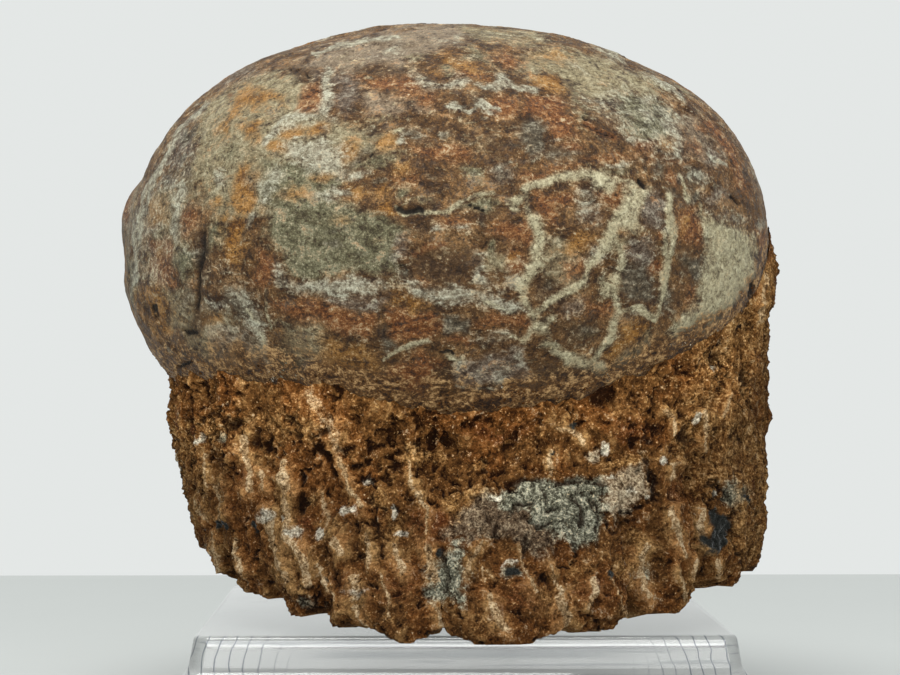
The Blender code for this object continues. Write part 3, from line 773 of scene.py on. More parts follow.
            (28, 103, 3, 1, -25, 0.6), (34.5, 95.8, 1.8, 0.5, -50, 0.8), (-25, 85.7, 2.5, 0.7, -25, 1),
            (-27, 84.3, 2, 1.1, 0, 0.8), (-4.3, 77.2, 1.3, 0.6, 0, 0.8), (0.5, 77.5, 1.5, 0.5, 0, 0.7),
            (11.5, 66.8, 1.7, 1, 0, 0.9), (58.3, 64.5, 2.1, 0.8, 70, 1), (-50.3, 62.2, 1.5, 0.8, 0, 0.7),
            (-47, 64.8, 2, 0.8, 0, 0.7), (9, 46.5, 2.5, 1.2, 80, 0.75), (12, 51, 1.5, 1, 60, 0.6),
            (61.5, 78.5, 1.2, 0.8, 80, 0.8), (49, 88.3, 1.5, 0.7, 0, 0.7), (24, 110.5, 3, 0.5, -15, 0.5),
            (-31.5, 50.5, 2, 0.6, -10, 0.6), (-2, 116.3, 4, 0.5, 5, 0.5), (11, 116.8, 5, 0.4, -5, 0.5),
            (19.5, 96, 1.5, 0.4, 0, 0.7), (-66.3, 68, 3.2, 0.9, 80, 0.8), (13, 92, 3, 0.5, 0, 0.5),
            (33, 90.6, 3, 0.4, 5, 0.6),
        ),
        "lines": (
            (1.1, 0.9, ((-40, 95.3), (-38, 97.5), (-36, 100), (-33, 101), (-30, 100.3))),
            (2.2, 0.95, ((-27, 109.5), (-27.5, 106), (-27, 103.5), (-28.5, 101.3))),
            (1.8, 0.75, ((-56.5, 86), (-58, 83), (-58.5, 79), (-58.5, 76))),
            (1.2, 0.85, ((-66, 76), (-65.5, 80), (-64, 84), (-62.5, 88), (-60, 93), (-57, 98),
                (-52, 103))),
            (1.5, 0.95, ((6, 106.8), (9, 107.2), (12, 106.5), (15.5, 106.3))),
            (0.7, 1, ((-3, 102.9), (0, 102), (2, 101.4), (3.2, 102.5), (4.5, 103.8), (6.5, 102.5),
                (8, 101.7))),
            (0.9, 0.9, ((-30, 113.2), (-25, 115), (-18, 116), (-13, 116.4))),
            (1.3, 0.8, ((-66.7, 79), (-66.7, 76), (-66, 71))),
            (0.6, 0.9, ((51.5, 93), (53, 91), (54.5, 90))),
            (0.7, 0.8, ((42, 53), (44, 54), (47, 54), (50, 55.5), (53, 57), (55, 59.3))),
            (0.6, 0.8, ((-1, 45.3), (3, 44.4), (8, 44.2), (10, 45))), (0.5, 0.8, ((0, 50.5), (-0.3, 48))),
            (0.9, 0.7, ((-60, 53), (-57.5, 49.5), (-56.5, 51.5))), (0.5, 0.6, ((-17.5, 63), (-17.7, 60))),
            (2.2, 0.75, ((-45, 64), (-42.5, 59), (-41, 54), (-39, 49.5), (-38.5, 46.5))),
        ),
    },
    "cream": {
        "areas": (
            (0.95, ((48.5, 80), (52, 79.5), (56, 78), (60, 75), (60.5, 68), (58, 63.5), (55, 60),
                (51, 56), (47, 54.3), (43.5, 55.3), (45, 58), (48.5, 62), (50, 68), (50.5, 74))),
            (1, ((26, 88.5), (30, 88.8), (32.5, 87), (30.5, 85.3), (27, 86))),
            (0.95, ((34.5, 86.5), (39, 85.8), (36, 81), (36.5, 78), (35, 76.5), (33, 79.5), (35, 82.5))),
            (0.95, ((13.3, 59.5), (15, 58.8), (17, 58.3), (17.5, 56.5), (14, 56.8))),
            (0.8, ((28.5, 67), (32.5, 67), (32, 63), (29, 63.5))),
        ),
        "spots": (
            (11.8, 83.6, 1.8, 0.9, 10, 1), (11.5, 82, 1.5, 0.6, -10, 0.8), (28.3, 48.7, 1.8, 1.6, 0, 0.9),
            (-1.5, 51.5, 1.5, 0.5, -10, 0.8), (39.7, 59.3, 0.9, 0.6, 0, 1), (18.7, 59, 1.5, 1, 0, 0.8),
            (-33, 51.8, 1.2, 0.4, -20, 0.7), (-13, 97, 1.3, 0.3, 5, 0.9), (-19, 108.3, 1.4, 0.3, 8, 0.8),
            (-43, 60, 1.5, 0.6, -40, 0.7), (-41, 54, 2, 0.7, -70, 0.6),
        ),
        "lines": (
            (1, 0.9, ((-13, 82.3), (-11, 80.9), (-7, 80.9), (-3, 81.2), (-1, 82.3), (0, 82.6))),
            (1.6, 0.9, ((13, 85.7), (16, 86.6), (20, 87.7), (24, 88.3), (27, 88))),
            (2.4, 0.95, ((36, 84), (33, 80), (31, 77), (29.3, 73.5))),
            (1.6, 0.75, ((29.3, 73.5), (27, 70), (25.5, 66.5))),
            (1.3, 0.7, ((31, 64), (33.5, 70), (32, 74))), (1.4, 0.7, ((33, 60.5), (31.5, 64), (29, 67))),
            (1.3, 0.75, ((12.5, 65.5), (13.5, 61.5), (15, 58))),
            (1.2, 0.7, ((41.5, 63), (40.5, 60), (39.8, 59))),
            (1.2, 0.65, ((31.8, 58.5), (33, 60.5), (35.5, 61))),
            (1, 0.6, ((28, 88), (33, 87.5), (37, 86.5))), (1.2, 0.6, ((25.5, 49.2), (28, 47), (31, 46))),
            (1.2, 0.6, ((15, 79.5), (14, 83), (13, 85.5))),
            (2.2, 0.85, ((15, 79.5), (16.5, 76), (15.3, 73.5), (16.3, 71), (14.5, 68.5), (12.5, 65.8))),
            (1.5, 0.9, ((43, 84), (42.7, 80), (43.5, 76), (43, 71), (42, 66.5), (41.5, 63))),
            (1, 0.8, ((42, 72), (41.5, 77))), (1.3, 1, ((35.5, 61), (38, 60), (40, 59.3))),
            (1.5, 0.95, ((15.5, 60.8), (19, 63), (22, 64.5), (25, 66.5))),
            (2, 0.9, ((17.5, 54), (20.5, 52), (23, 50.8), (25.5, 49.3))),
            (1.3, 0.85, ((25.5, 49.2), (28, 51), (30, 54), (31, 57), (31.8, 58.5))),
            (0.8, 0.8, ((30, 46), (34, 47), (37, 49.5), (38.7, 54))),
            (0.8, 0.85, ((-16, 50.5), (-13, 52.3), (-9, 53.5), (-6.5, 54.2))),
            (1, 0.7, ((49, 82.5), (49.5, 78), (51, 74), (50.5, 68), (49.5, 62), (47.5, 57))),
            (0.7, 0.7, ((45, 89), (46.3, 86.5), (46.5, 83))),
            (0.8, 0.7, ((-1.5, 82.3), (0.5, 83), (2, 84.3), (7, 85))),
            (0.6, 0.6, ((-39.5, 65), (-40, 61), (-39, 57))),
            (0.9, 0.6, ((10.5, 60), (8, 61.5), (5, 62.3))),
            (0.8, 0.7, ((10, 55), (12.5, 54.2), (14, 55.5), (14.2, 57))),
        ),
    },
}
# how freely noise lays each mineral on the sides that the paint doesn't reach
shellElsewhere = {
    "rose": 0.05, "khaki": 0.05, "green": -0.15, "purple": -0.1, "rust": 0.12,
    "orange": -0.12, "umber": -0.42, "slate": -0.42, "white": -0.34, "cream": -0.5,
}
# open slits in the shell: width, depth from 0 to 1, then the route
# their near-black colour is painted shade inside the slits
slits = (
    (1.7, 1, ((-12.4, 82.3), (-10.8, 81.7), (-9, 81.3), (-7.6, 81.3))),
    (0.7, 1, ((1, 82.6), (2.5, 81.8), (4.5, 81.4))), (0.6, 1, ((6, 82.7), (8.7, 82.4))),
    (0.6, 0.8, ((-34.5, 110.6), (-33, 109.9))), (0.6, 0.7, ((-32, 109.3), (-31, 108.8))),
    (0.9, 1, ((-62.8, 61.8), (-62.5, 59.5))), (1.1, 1, ((37.2, 87.5), (38, 87), (38.4, 86.5))),
    (0.9, 1, ((55.3, 84.5), (57, 82.8))), (1.5, 0.7, ((-53, 76), (-53.2, 69), (-53.4, 65), (-54, 61))),
    (1.1, 1, ((59.5, 66.5), (59.2, 64))), (0.5, 0.8, ((3, 77), (5, 75.8), (7.5, 75.3))),
    (0.4, 0.7, ((3.5, 71.5), (5, 74.5))), (0.5, 0.8, ((-5.5, 53.3), (-3, 52.3))),
    (0.7, 1, ((-3, 52.4), (-1.3, 52.2))), (0.5, 0.8, ((-11.5, 69.8), (-10, 68.3))),
    (0.5, 0.5, ((-30, 86.3), (-28.5, 86.8))), (0.8, 0.8, ((25.3, 100.6), (26.5, 100.2))),
    (1.2, 0.9, ((-56.5, 56.3), (-54.5, 56))), (0.4, 0.7, ((16, 58.5), (17, 61.5), (18.5, 63))),
    (0.5, 0.7, ((-20.5, 91.8), (-17.5, 92.7))), (0.8, 0.8, ((26, 99.3), (28.5, 98), (31, 96.4))),
    (1, 1, ((-58, 49), (-55.5, 49.8))), (0.6, 0.8, ((-39, 69), (-38.3, 67))),
    (1, 0.8, ((-69, 81), (-68.6, 77))), (0.6, 0.7, ((27, 95), (28, 94.7))),
)


def makeGlobe():
    # a fine icosphere, finer still on the side that is shown
    bm = bmesh.new()
    bmesh.ops.create_icosphere(bm, subdivisions=eggValues["fineness"], radius=1)
    shown = set()
    for face in bm.faces:
        middle = face.calc_center_median()
        if middle.y < -0.12 and middle.z > -0.5:
            shown.update(face.edges)
    bmesh.ops.subdivide_edges(bm, edges=list(shown), cuts=1, use_grid_fill=True)
    bmesh.ops.triangulate(bm, faces=bm.faces)
    mesh = bpy.data.meshes.new("fossilEgg")
    bm.to_mesh(mesh)
    bm.free()
    return mesh


def shellRelief(points, masks, slit):
    values = eggValues
    near, following, number = cellsAt(points, values["chipSize"], 3.0)
    chips = smooth(number, 0.55, 0.75) * smooth(following - near, 0.05, 0.3)
    raised = {kind: smooth(masks[kind], 0.3, 0.8) for kind in ("cream", "white")}
    sunken = {kind: smooth(masks[kind], 0.3, 0.7) for kind in ("slate", "umber")}
    relief = values["waver"] * roughAt(points, 7, 4, 11.0)
    relief += values["grain"] * roughAt(points, 1.6, 3, 5.0)
    relief -= values["chip"] * chips
    relief += values["creamHeight"] * raised["cream"] + values["whiteHeight"] * raised["white"]
    relief -= values["slateDepth"] * sunken["slate"] + values["umberDepth"] * sunken["umber"]
    relief -= values["slitDepth"] * smooth(slit, 0.35, 0.9)
    return relief - values["setIn"]


def storeShellMasks(obj, points, masks, slit, hidden):
    for number, (kind, amount) in enumerate(shellElsewhere.items()):
        size = 8 if kind in ("white", "slate", "umber") else 15
        blotches = 0.45 + amount + 1.1 * roughAt(points, size, 4, 40.0 + 7 * number)
        if kind == "cream":
            bent = points + 1.2 * roughAt(points, 6, 3)[:, None]
            near, following, _ = cellsAt(bent, eggValues["veinSize"], 2.0)
            veins = np.clip(1 - (following - near) / 0.09, 0, 1)
            blotches = veins * smooth(roughAt(points, 20, 2, 9.0), -0.1, 0.3)
        storeMask(obj, kind, masks[kind] + hidden * blotches)
    storeMask(obj, "slit", slit)
    above = points[:, 2] - standTop
    turn = np.degrees(np.arctan2(points[:, 0], -points[:, 1]))
    edge = around(blockValues["edgeHeight"], turn) + 2.5 * roughAt(points, 6, 4, 71.0)
    coat = above - edge
    storeMask(obj, "dust", 1.2 - coat / eggValues["dustReach"])
    # grains lie on the shell near the block's edge, and take their tone from "height"
    storeMask(obj, "height", np.full(len(points), 0.55))
    storeMask(obj, "gritty", smooth(coat, 5, -1) * smooth(above - edge, -5, -3))


def makeEgg():
    # the globe pushed out to the shell's form
    mesh = makeGlobe()
    obj = bpy.data.objects.new("fossilEgg", mesh)
    bpy.context.scene.collection.objects.link(obj)
    directions = np.empty(len(mesh.vertices) * 3)
    mesh.vertices.foreach_get("co", directions)
    directions = directions.reshape(-1, 3)
    directions /= np.linalg.norm(directions, axis=1)[:, None]
    points = eggSurface(directions)
    place = FaceMap(points, directions)
    masks = {kind: place.paint(marks) for kind, marks in shellPaint.items()}
    share = eggValues["slitWidth"]
    place.lines([(share * width, depth, route) for width, depth, route in slits], 0.7, 1.0)
    slit = place.take()
    points += directions * shellRelief(points, masks, slit)[:, None]
    mesh.vertices.foreach_set("co", (points * mm).ravel())
    mesh.update()
    mesh.shade_smooth()
    storeShellMasks(obj, points, masks, slit, 1 - place.seen)
    return obj


def blockAngles():
    # columns stand closer together on the side that is shown
    angle = np.linspace(-180, 180, 3601)
    crowd = 1 + 0.8 * smooth(100 - np.abs(angle), 0, 40)
    share = np.concatenate(([0], np.cumsum((crowd[1:] + crowd[:-1]) / 2)))
    steps = np.linspace(0, share[-1], blockValues["columns"], endpoint=False)
    return np.interp(steps, share, angle)


def gridNormals(grid):
    sideways = np.roll(grid, -1, 1) - np.roll(grid, 1, 1)
    upwards = np.gradient(grid, axis=0)
    normals = np.cross(sideways, upwards)
    return normals / np.maximum(1e-9, np.linalg.norm(normals, axis=2))[:, :, None]


# ridges left by the tool that freed the block: width, strength, then the route
ridges = (
    (1.6, 0.8, ((-44.3, 35), (-43.6, 31), (-42.8, 27.5), (-43.2, 24))),
    (1, 0.7, ((-52.5, 31), (-51.5, 27.5), (-51, 25))),
    (1.1, 0.7, ((-49.3, 25), (-49, 21), (-48.6, 18.5))),
    (0.9, 0.6, ((-53.7, 22), (-52.7, 19.5), (-51.5, 17.5))),
    (1, 0.7, ((-50.5, 15.5), (-49.7, 12), (-49, 8))), (1.3, 0.9, ((-40.7, 27), (-39.7, 24.5))),
    (1.5, 0.8, ((-36, 30), (-35, 25), (-35.5, 21.5), (-34.8, 18))),
    (1.5, 1, ((-39, 20), (-38, 15), (-37.2, 12), (-36.5, 8.5), (-35.2, 5.8))),
    (1.6, 1, ((-34.8, 17.5), (-34.2, 14), (-32.9, 11.5), (-31.8, 8.5), (-31.2, 4.8))),
    (3, 0.4, ((-31.5, 43.5), (-28, 40), (-26, 35), (-25, 31))),
    (1.1, 0.8, ((-24.8, 30), (-23.5, 26.5), (-22, 23), (-20.5, 20.5))),
    (0.8, 0.6, ((-29.5, 9), (-27, 4.5), (-25, 1.5))), (1.4, 0.8, ((-25.3, 14.5), (-24, 10.5))),
    (1.8, 0.9, ((-22, 6), (-21.5, 2.5))), (1.5, 0.8, ((-21.5, 0), (-19.5, -3.5))),
    (1.2, 0.8, ((-18.8, 15), (-18, 11.5), (-18.2, 8.5))),
    (1.4, 0.8, ((-13.8, 12), (-12.5, 9.5), (-11.5, 7))),
    (1.8, 0.9, ((-6.6, 12.5), (-5.9, 9), (-5.3, 5.5))),
    (1, 0.8, ((-10.8, 30), (-10, 25), (-8.5, 22), (-7, 19.5))), (0.9, 0.7, ((-6.8, 19), (-6.9, 15))),
    (1.2, 0.8, ((-6, 1), (-5, -2), (-4, -4))), (1.8, 0.9, ((5.5, 2), (7, -1), (9, -4))),
    (2.2, 0.9, ((20.5, 2), (21.5, -1.5), (21, -4))), (1, 0.7, ((3.8, 12.5), (2, 9.5), (0.5, 6))),
    (0.7, 0.7, ((4.5, 9), (5, 5.5))), (0.7, 0.7, ((6, 8), (7.2, 5.5))),
    (1, 0.7, ((18.5, 9), (19.5, 6), (21, 3))), (1.1, 0.7, ((18.2, 32), (18.5, 27))),
    (1.1, 0.8, ((41.5, 40.5), (43.5, 39), (44, 35))), (1.2, 0.8, ((43.8, 29.5), (42.8, 26))),
    (1.4, 1, ((43, 20), (43.2, 16.5), (44.5, 13), (45.3, 11))),
    (1.6, 0.9, ((38, 13), (36.7, 10), (36.2, 7), (37, 4), (38.5, 2.5))),
    (1, 0.8, ((50, 40), (50, 34), (50.5, 31.5))), (0.9, 0.7, ((54.5, 43), (53.5, 39))),
    (1.2, 0.9, ((49.8, 20), (48.8, 17), (49.5, 13.5), (51.5, 11.5))), (1, 0.8, ((48, 9.5), (47.5, 6))),
    (1, 0.8, ((52.5, 9.5), (52.5, 6))), (1, 0.8, ((62.5, 68), (61, 60.5))),
    (1, 0.8, ((62, 62.5), (60.8, 58.5))), (1.2, 0.8, ((20, 36.5), (23, 36), (25, 34))),
    (0.8, 0.7, ((-2, 40.6), (3, 41))), (1, 0.8, ((27, 5.5), (27.5, 3), (26, 0))),
    (0.9, 0.6, ((-46, 14), (-45, 9), (-43.5, 4))), (0.9, 0.6, ((31, 6), (33, 2), (34, -2))),
    (1, 0.6, ((-28.5, 24), (-28, 19), (-27, 15))), (0.9, 0.6, ((-16, 7), (-15, 2), (-14, -2))),
    (1, 0.6, ((12, 12), (13, 8), (14.5, 3))), (0.9, 0.6, ((44, 8), (45.5, 4), (46.5, 1))),
)
# colours of the stone, set out as those of the shell are
stonePaint = {
    "green": {
        "areas": (
            (1, ((5, 22), (9, 24), (14, 26.5), (20, 25.5), (29, 25.5), (30, 21), (28, 16), (24, 13),
                (20, 15), (15, 17), (12, 20), (8, 21))),
            (0.9, ((-7, 5), (-4, 8), (-1, 13), (1, 13), (0, 5), (0, 0.5), (-6, 1))),
            (1, ((54.5, 24), (57, 25.5), (59.5, 24), (59, 21), (56, 20.5))),
        ),
        "spots": (
            (-32, 1.5, 2.8, 1.2, -15, 0.6), (-48.7, 34.5, 1, 0.9, 0, 0.9), (-50.7, 12.5, 1.4, 1, 0, 0.8),
            (37, 6, 1.5, 2.5, 0, 0.7), (10.9, 7.5, 1.6, 1.4, 0, 0.8),
        ),
    },
    "lilac": {
        "areas": (
            (1, ((-2, 18), (2, 21.5), (8, 22.5), (14, 21), (20, 18), (20, 12), (14, 12), (8, 13), (3, 13),
                (-2, 14))),
        ),
    },
    "tan": {
        "areas": (
            (0.9, ((-5, 21.5), (-2, 22), (0.5, 20), (0, 17.5), (-3, 18.5))),
            (0.9, ((-19, 24), (-15, 23), (-15.5, 20), (-19, 20.5))),
            (0.9, ((-11, 32), (-7, 32), (-4, 31), (-8, 28), (-10, 28.5))),
            (0.8, ((-15, 17), (-12, 18), (-10.5, 16.5), (-12.5, 13), (-14.5, 13))),
            (0.7, ((46, 41), (49, 41.5), (51, 37), (49, 34), (46, 36))),
            # the broad faint washes over the right side, from 42 to 66 across, are painted light on that
            # side
            (0.42, ((44, 47), (48, 54), (53, 57), (58, 63), (63, 70), (65, 60), (64, 46), (60, 40),
                (52, 38), (47, 41))),
            (0.4, ((-58, 38), (-48, 40), (-36, 41), (-28, 40), (-30, 35), (-44, 33), (-57, 33))),
            (0.5, ((54, 10), (56, 20), (57, 38), (66, 40), (66, 20), (62, 8))),
            (0.45, ((-62, 18), (-60, 38), (-53, 38), (-52, 22), (-55, 16))),
            (0.46, ((42, 22), (43, 38), (54, 42), (63, 38), (64, 28), (58, 27), (50, 21))),
        ),
        "spots": (
            (2, 22.7, 3.5, 1.2, 10, 0.9), (33.5, 29.7, 4, 1, 5, 0.8), (3.3, 28.7, 1.4, 1.1, 0, 0.8),
            (36, 14, 2.5, 1.5, -20, 0.7), (33.5, 9, 2, 2, 0, 0.7), (16, 2.5, 3, 1.5, 0, 0.7),
            (-13.5, -2, 2, 1, 0, 0.6), (-30, 22, 2, 1.2, 60, 0.6), (24, 8, 2, 1.5, 0, 0.6),
        ),
    },
    "pink": {
        "areas": (
            (1, ((29, 24), (32, 28), (38, 28.5), (38, 25), (36, 21), (33, 19.5), (31, 21.5))),
        ),
        "spots": (
            (26.8, 31, 1.6, 1.2, 0, 0.8), (7, -1, 1.2, 2, 0, 0.6), (21.2, 0, 1.4, 2.2, 0, 0.7),
        ),
    },
    "red": {
        "areas": (
            (0.9, ((-9.5, 19), (-7, 18), (-7, 14.5), (-9, 15))),
            (0.9, ((-6.5, 18), (-3, 18), (-3, 15), (-5.5, 15))),
        ),
        "spots": (
            (-31.7, 17, 1.5, 1.2, -40, 1), (44, 24, 2, 3, 0, 0.6), (-45, 27, 3, 2, 0, 0.5),
            (6, 36, 5, 2, 0, 0.5), (35, 36, 4, 2, 0, 0.5), (-24, 5, 2, 1.5, 0, 0.5),
            (-14, 4, 5, 3, 10, 0.5), (12, 2, 6, 3, -10, 0.45), (27, 3, 5, 3, 0, 0.45),
            (-38, 10, 5, 3, 60, 0.4),
        ),
    },
    "white": {
        "spots": (
            (-11.8, 15, 1.3, 0.9, 0, 1), (-13.5, 19, 1.4, 0.6, 85, 1), (-39.6, 19, 1.4, 1.1, 0, 1),
            (-28.9, 15.2, 1, 0.8, 0, 1), (-36.2, 18.5, 0.7, 0.5, 0, 0.9), (-19.2, 25.6, 1.3, 0.7, 0, 0.9),
            (-53, 34.8, 1.2, 0.8, 0, 0.8), (-22.8, 19.5, 1.7, 1, -10, 0.8), (-33.5, 15.5, 1.3, 1, 0, 0.9),
            (-21.8, 3.8, 2.2, 1.2, 0, 0.7), (7.5, 22.5, 1.2, 0.5, 10, 0.9), (29.7, 32.3, 1.2, 0.9, 0, 1),
            (41.3, 30.3, 0.9, 0.8, 0, 0.9), (48.5, 38.8, 1.2, 0.8, 85, 1), (51.8, 23.3, 0.8, 0.6, 0, 0.9),
            (37.7, 22.8, 0.7, 0.5, 0, 0.9), (52.2, 49.5, 1.1, 0.8, 0, 0.9), (31, 26.5, 1.3, 0.8, 20, 0.8),
            (35, 24, 1, 0.8, 0, 0.7), (10.5, 9.2, 1.8, 0.4, 10, 0.8),
        ),
    },
    "black": {
        "areas": (
            (1, ((49.6, 14), (50.3, 18.5), (52.3, 20.3), (54.8, 18.5), (55.8, 14.5), (54.6, 11.8),
                (51.8, 10.8), (50, 12))),
            (0.9, ((49.5, 9.5), (51, 11.5), (53.5, 11.5), (51, 9.3))),
        ),
        "spots": (
            (-48.7, 17, 1.4, 0.9, 80, 1), (-42.4, 16.2, 1.2, 0.6, 85, 1), (10.9, 7.5, 1.1, 0.9, 0, 1),
            (31, 7, 1.2, 0.8, 80, 0.9), (22.8, 37.3, 1.2, 0.8, 0, 0.9), (18.8, 31.3, 0.8, 0.6, 0, 0.9),
            (-4, 11.5, 1.6, 0.9, 85, 0.8), (58.6, 22.5, 0.7, 0.6, 0, 0.9),
        ),
    },
}
# how freely noise lays each colour on the sides that the paint doesn't reach
stoneElsewhere = {
    "green": -0.35, "lilac": -0.25, "tan": 0.05, "pink": -0.5, "red": 0.05, "white": -0.7, "black": -0.8,
}
# holes: across, above, half length, half thickness, direction in degrees, depth from 0 to 1
# the holes are coloured near black in the stone's finish, painted shade inside them
pits = (
    (28.5, 42.8, 1.8, 1.6, 0, 1), (46, 34.5, 1.9, 1.2, 80, 1), (47.5, 34, 1.5, 1, 0, 0.8),
    (-42.2, 34, 1.3, 1.2, 0, 1), (-39.8, 33, 0.9, 0.9, 0, 1), (-49, 38.5, 1.7, 0.9, 0, 1),
    (-46.3, 38, 1.5, 1, 0, 1), (-52, 38, 1.1, 0.9, 0, 1), (-23, 31.8, 1.5, 0.8, 30, 1),
    (-21, 29.3, 2, 0.9, 25, 1), (-8.8, 26.8, 1.3, 0.8, 0, 0.9), (-13.3, 29, 1.1, 0.9, 0, 0.9),
    (-32, 20, 1.1, 0.9, 0, 0.9), (14, 26, 3, 0.8, 0, 0.8), (53, 51.5, 2, 1.4, 60, 1),
    (-17, 33, 1.2, 0.9, 20, 0.8), (-2, 34, 1.4, 0.9, 0, 0.8), (9, 33, 1.5, 1, 0, 0.8),
    (36, 33, 1.5, 0.9, 10, 0.8), (40, 36, 1.3, 1, 0, 0.8), (-28, 36, 1.2, 1, 0, 0.8),
    (-35, 38, 1.6, 0.9, 0, 0.8), (3, 38.5, 2, 0.8, 5, 0.7), (16, 38, 1.4, 0.9, 0, 0.8),
    (56, 36, 1, 1.6, 0, 0.8), (59, 48, 0.9, 1.8, 0, 0.8), (-55, 28, 1, 1.5, 0, 0.7),
)
# cracks: width, depth from 0 to 1, then the route
# the cracks are coloured near black as painted shade; the first runs as a painted shadow under the shell's
# edge
cracks = (
    (1.3, 1, ((24, 43.5), (27, 44.5), (30, 44.5))), (0.9, 0.9, ((9, 25.2), (13, 26.4), (16, 25.8))),
    (1, 0.9, ((11, 21.2), (14.5, 21))), (0.9, 0.9, ((18, 20.3), (20, 20.8))),
    (0.9, 0.9, ((7, 17), (6.5, 15))), (0.8, 0.8, ((-30, 33), (-27, 30.5), (-26, 27))),
    (0.8, 0.7, ((38, 30), (39.5, 26), (39, 22))), (1, 0.9, ((20, 25.3), (24, 25.9), (29, 24.8))),
    (0.8, 0.9, ((22.5, 23), (25, 21), (24.6, 17.5))), (0.8, 0.8, ((27, 22.5), (28.6, 19.5), (27.5, 16))),
    (0.9, 0.8, ((12, 18.2), (16, 17), (19, 17.6))), (0.7, 0.8, ((16, 24), (17.5, 22))),
    (0.8, 0.7, ((-3.5, 12), (-2.8, 7), (-3.4, 3))),
)


def blockEdge(angle):
    # the line where the stone meets the shell, and its height above the stand
    values = blockValues
    circle = outwardOf(angle) * 60
    edgeHeight = around(values["edgeHeight"], angle) + values["edgeRagged"] * roughAt(circle, 7, 4, 2.0)
    ledge = values["ledge"] * np.clip(0.3 + 1.6 * roughAt(circle, 5, 3, 8.0), -0.5, 2)
    edge = eggSurface(shellDirections(angle, standTop + edgeHeight), 0.05)
    edge += outwardOf(angle) * ledge[:, None]
    return edge, edgeHeight


def underRings(foot, angle):
    # the underside, from the middle out; under the front toes it rises early
    values = blockValues
    level = foot - blockAxis
    level[:, 2] = 0
    reach = np.linalg.norm(level, axis=1)
    rings = []
    hollow = 0.55 + 1.6 * smooth(22 - np.abs(angle), 0, 12)
    for out in np.linspace(0, 1, values["underRows"] + 1)[1:-1]:
        past = np.maximum(0, (reach * out - values["flatRadius"]) / (reach - values["flatRadius"]))
        ring = blockAxis + level * out
        rise = foot[:, 2] - standTop - values["restGap"]
        ring[:, 2] = standTop + values["restGap"] + rise * past ** hollow
        rings.append(ring)
    return np.array(rings)


def socketRings(edge, angle):
    # the hollow under the egg, from the edge down to the middle
    away = edge - eggCentre
    edgeRise = np.degrees(np.arcsin(np.clip(away[:, 2] / np.linalg.norm(away, axis=1), -1, 1)))
    rings = []
    for down in np.linspace(0, 1, blockValues["socketRows"] + 1)[1:-1] ** 1.2:
        rise = np.radians(edgeRise * (1 - down) - 90 * down)
        rings.append(eggSurface(directionsAt(np.radians(angle), rise), blockValues["shellGap"]))
    return np.array(rings)


def stoneMarks(place):
    # ridges and their pale crests, the crests a painted highlight; holes with cracks, painted shade; and
    # the coloured patches
    place.lines([(2.0 * width, strength, route) for width, strength, route in ridges], 0.9, 0.9)
    ridge = place.take()
    place.lines([(0.85 * width, strength, route) for width, strength, route in ridges], 0.5, 0.9)
    crest = place.take()
    place.spots([(x, z, 0.8 * a, 0.7 * b, turn, depth) for x, z, a, b, turn, depth in pits], 0.9, 2.0)
    place.lines(cracks, 0.7, 1.0)
    pit = place.take()
    masks = {kind: place.paint(marks, 2.8) for kind, marks in stonePaint.items()}
    return ridge, crest, pit, masks


def stoneRelief(points, gap, ridge, pit):
    # lumps from -1 to 1, fine relief in millimetres, and where holes and fissures lie;
    # gap is how far each point lies below the edge against the shell
    values = blockValues
    lumps = roughAt(points, values["lumpSize"], 5, 12.0)
    bend = np.column_stack([roughAt(points, 2.6, 3, 21.0 + k) for k in (0, 9, 18)])
    pitted = 0.25 + 0.75 * smooth(gap, 0, 4) * (1 - smooth(gap, 10, 18))
    pitted *= 0.4 + 0.6 * smooth(roughAt(points, 9, 2, 44.0), -0.2, 0.2)
    near, _, number = cellsAt(points + 1.3 * bend, values["pitSize"], 4.0)
    near += 0.35 * roughAt(points, 0.9, 2, 27.0)
    holes = smooth(0.55 - near, 0, 0.35) * smooth(number + 0.5 * (pitted - 0.5), 0.55, 0.75)
    near, following, number = cellsAt(points + 0.9 * bend, values["crumbSize"], 14.0)
    crumbs = smooth(following - near, 0, 0.3) * (0.45 + number) - 0.7
    crumbs *= 0.45 + 0.55 * smooth(gap, 22, 8)
    # winding fissures where a broad noise crosses zero, in about half of the face
    fissure = smooth(0.075 - np.abs(roughAt(points + 0.8 * bend, values["fissureSize"], 4, 90.0)), 0, 0.05)
    fissure *= smooth(roughAt(points, 11, 2, 95.0), -0.1, 0.2) * (1 - 0.7 * smooth(ridge, 0.1, 0.5))
    fine = values["crumbHeight"] * crumbs - values["pitDepth"] * holes - values["holeDepth"] * pit
    fine += (
        values["fineRough"] * roughAt(points, 1.2, 3, 33.0) + values["ridgeHeight"] * ridge
        - values["fissureDepth"] * fissure
    )
    return lumps, fine, holes, fissure


def skinBlock(outer, socket):
    # one closed skin over the rings of the underside, the side and the socket
    count = outer.shape[1]
    rings = np.concatenate((outer, socket))
    bottom = blockAxis + (0, 0, standTop + blockValues["restGap"])
    middle = eggSurface(np.array([[0, 0, -1.0]]), blockValues["shellGap"])
    allPoints = np.concatenate((rings.reshape(-1, 3), [bottom], middle))
    lower = np.arange(count)
    after = (lower + 1) % count
    faces = []
    for ring in range(len(rings) - 1):
        low, high = ring * count, (ring + 1) * count
        faces += np.column_stack((low + lower, low + after, high + after, high + lower)).tolist()
    last = (len(rings) - 1) * count
    faces += np.column_stack((after, lower, np.full(count, len(allPoints) - 2))).tolist()
    faces += np.column_stack((last + lower, last + after, np.full(count, len(allPoints) - 1))).tolist()
    obj = meshFrom("mudstoneBlock", allPoints, faces)
    obj.data.set_sharp_from_angle(angle=math.radians(80))
    return obj, allPoints


